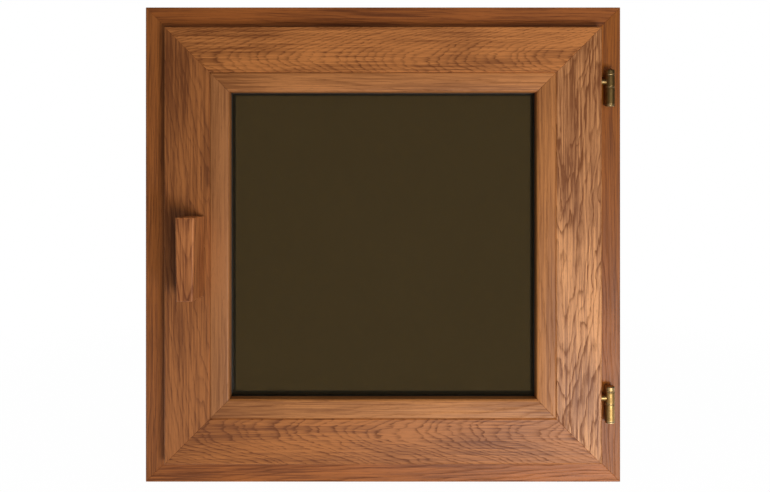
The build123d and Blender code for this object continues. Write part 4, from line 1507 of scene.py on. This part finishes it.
def floorMesh():
    centreX, centreY = floorValues["centre"]
    segments, rings = floorValues["segments"], floorValues["rings"]
    vertices = [Vector((centreX, centreY, 0.0))]
    faces = []
    for ring in range(1, rings + 1):
        radius = floorValues["radius"] * ring / rings
        for step in range(segments):
            angle = tau * step / segments
            vertices.append(Vector((centreX + radius * cos(angle), centreY + radius * sin(angle), 0.0)))
    for step in range(segments):
        following = (step + 1) % segments
        faces.append((0, 1 + step, 1 + following))
        for ring in range(rings - 1):
            first = 1 + ring * segments
            second = first + segments
            faces.append((first + step, second + step, second + following, first + following))
    mesh = bpy.data.meshes.new("studioFloor")
    mesh.from_pydata(vertices, [], faces)
    return mesh


def floorMaterial():
    # the disc fades into the white background before its rim
    material, tree, shader = newMaterial("pale floor")
    place = addNode(tree, "ShaderNodeSeparateXYZ")
    feed(tree, place.inputs[0], addNode(tree, "ShaderNodeTexCoord").outputs["Object"])
    squares = []
    for part, middle in zip(place.outputs, floorValues["centre"]):
        squares.append(calc(tree, "POWER", calc(tree, "SUBTRACT", part, middle), 2.0))
    distance = calc(tree, "SQRT", calc(tree, "ADD", *squares))
    radius = floorValues["radius"]
    far = spread(tree, distance, radius * floorValues["blendFrom"], radius * floorValues["blendTo"])
    white = grey(floorValues["white"] * (1 - floorValues["glow"]))
    feed(tree, shader.inputs["Base Color"], mixColour(tree, far, white, grey(0.0)))
    feed(tree, shader.inputs["Emission Color"], mixColour(tree, far, grey(floorValues["glow"]), grey(1.0)))
    shader.inputs["Emission Strength"].default_value = 1.0
    shader.inputs["Specular IOR Level"].default_value = 0.0
    shader.inputs["Roughness"].default_value = floorValues["roughness"]
    return material


def makeFloor():
    floorObject = bpy.data.objects.new("studioFloor", floorMesh())
    bpy.context.scene.collection.objects.link(floorObject)
    floorObject.data.materials.append(floorMaterial())
    floorObject.visible_shadow = False
    floorObject.visible_diffuse = False  # pale to the eye, but throws no light up


worldValues = {"ambient": 0.21, "mirrored": 0.04}


def makeWorld():
    # white to the camera and through the glass, dim in reflections, and soft all round for the shading
    world = bpy.data.worlds.new("studio")
    world.use_nodes = True
    tree = world.node_tree
    background = tree.nodes["Background"]
    rays = addNode(tree, "ShaderNodeLightPath")
    seen = calc(tree, "MAXIMUM", rays.outputs["Is Camera Ray"], rays.outputs["Is Transmission Ray"])
    ambient = grey(worldValues["ambient"])
    shade = mixColour(tree, rays.outputs["Is Glossy Ray"], ambient, grey(worldValues["mirrored"]))
    feed(tree, background.inputs["Color"], mixColour(tree, seen, shade, grey(1.0)))
    bpy.context.scene.world = world


# round soft lamps; the key and the fill only shade the timber, and the sheen lamp is only mirrored in it
lampTarget = (0.0, 0.0, 0.25)
lamps = {
    "key": {"place": (0.30, -1.0, -0.03), "size": 0.5, "power": 6.7, "diffuse": True, "glossy": False},
    "sheen": {"place": (0.52, -1.05, -0.20), "size": 0.30, "power": 8.4, "diffuse": False, "glossy": True},
    "fill": {"place": (0.9, -1.3, 0.9), "size": 0.8, "power": 2.0, "diffuse": True, "glossy": False},
    "back": {"place": (-0.7, 1.3, 0.9), "size": 0.8, "power": 6.0, "diffuse": True, "glossy": True},
}


def makeLamp(name, values):
    data = bpy.data.lights.new(name, "AREA")
    data.shape = "DISK"
    data.size = values["size"]
    data.energy = values["power"]
    lamp = bpy.data.objects.new(name, data)
    bpy.context.scene.collection.objects.link(lamp)
    lamp.location = values["place"]
    lamp.rotation_euler = (Vector(lampTarget) - Vector(values["place"])).to_track_quat("-Z", "Y").to_euler()
    lamp.visible_camera = False
    lamp.visible_transmission = False
    lamp.visible_diffuse = values["diffuse"]
    lamp.visible_glossy = values["glossy"]


cameraValues = {
    "place": (0.0, -0.95, 0.317), "lens": 40.62, "filmWidth": 36.0, "shiftX": 0.0026, "shiftY": -0.0844,
}


def makeCamera():
    data = bpy.data.cameras.new("studioCamera")
    data.lens = cameraValues["lens"]
    data.sensor_width = cameraValues["filmWidth"]
    data.shift_x = cameraValues["shiftX"]
    data.shift_y = cameraValues["shiftY"]
    camera = bpy.data.objects.new("studioCamera", data)
    bpy.context.scene.collection.objects.link(camera)
    camera.location = cameraValues["place"]
    camera.rotation_euler = (radians(90), 0.0, 0.0)
    bpy.context.scene.camera = camera


makeFloor()
makeWorld()
for name, values in lamps.items():
    makeLamp(name, values)
makeCamera()
bpy.context.scene.view_settings.view_transform = "Standard"
print("studio ready")
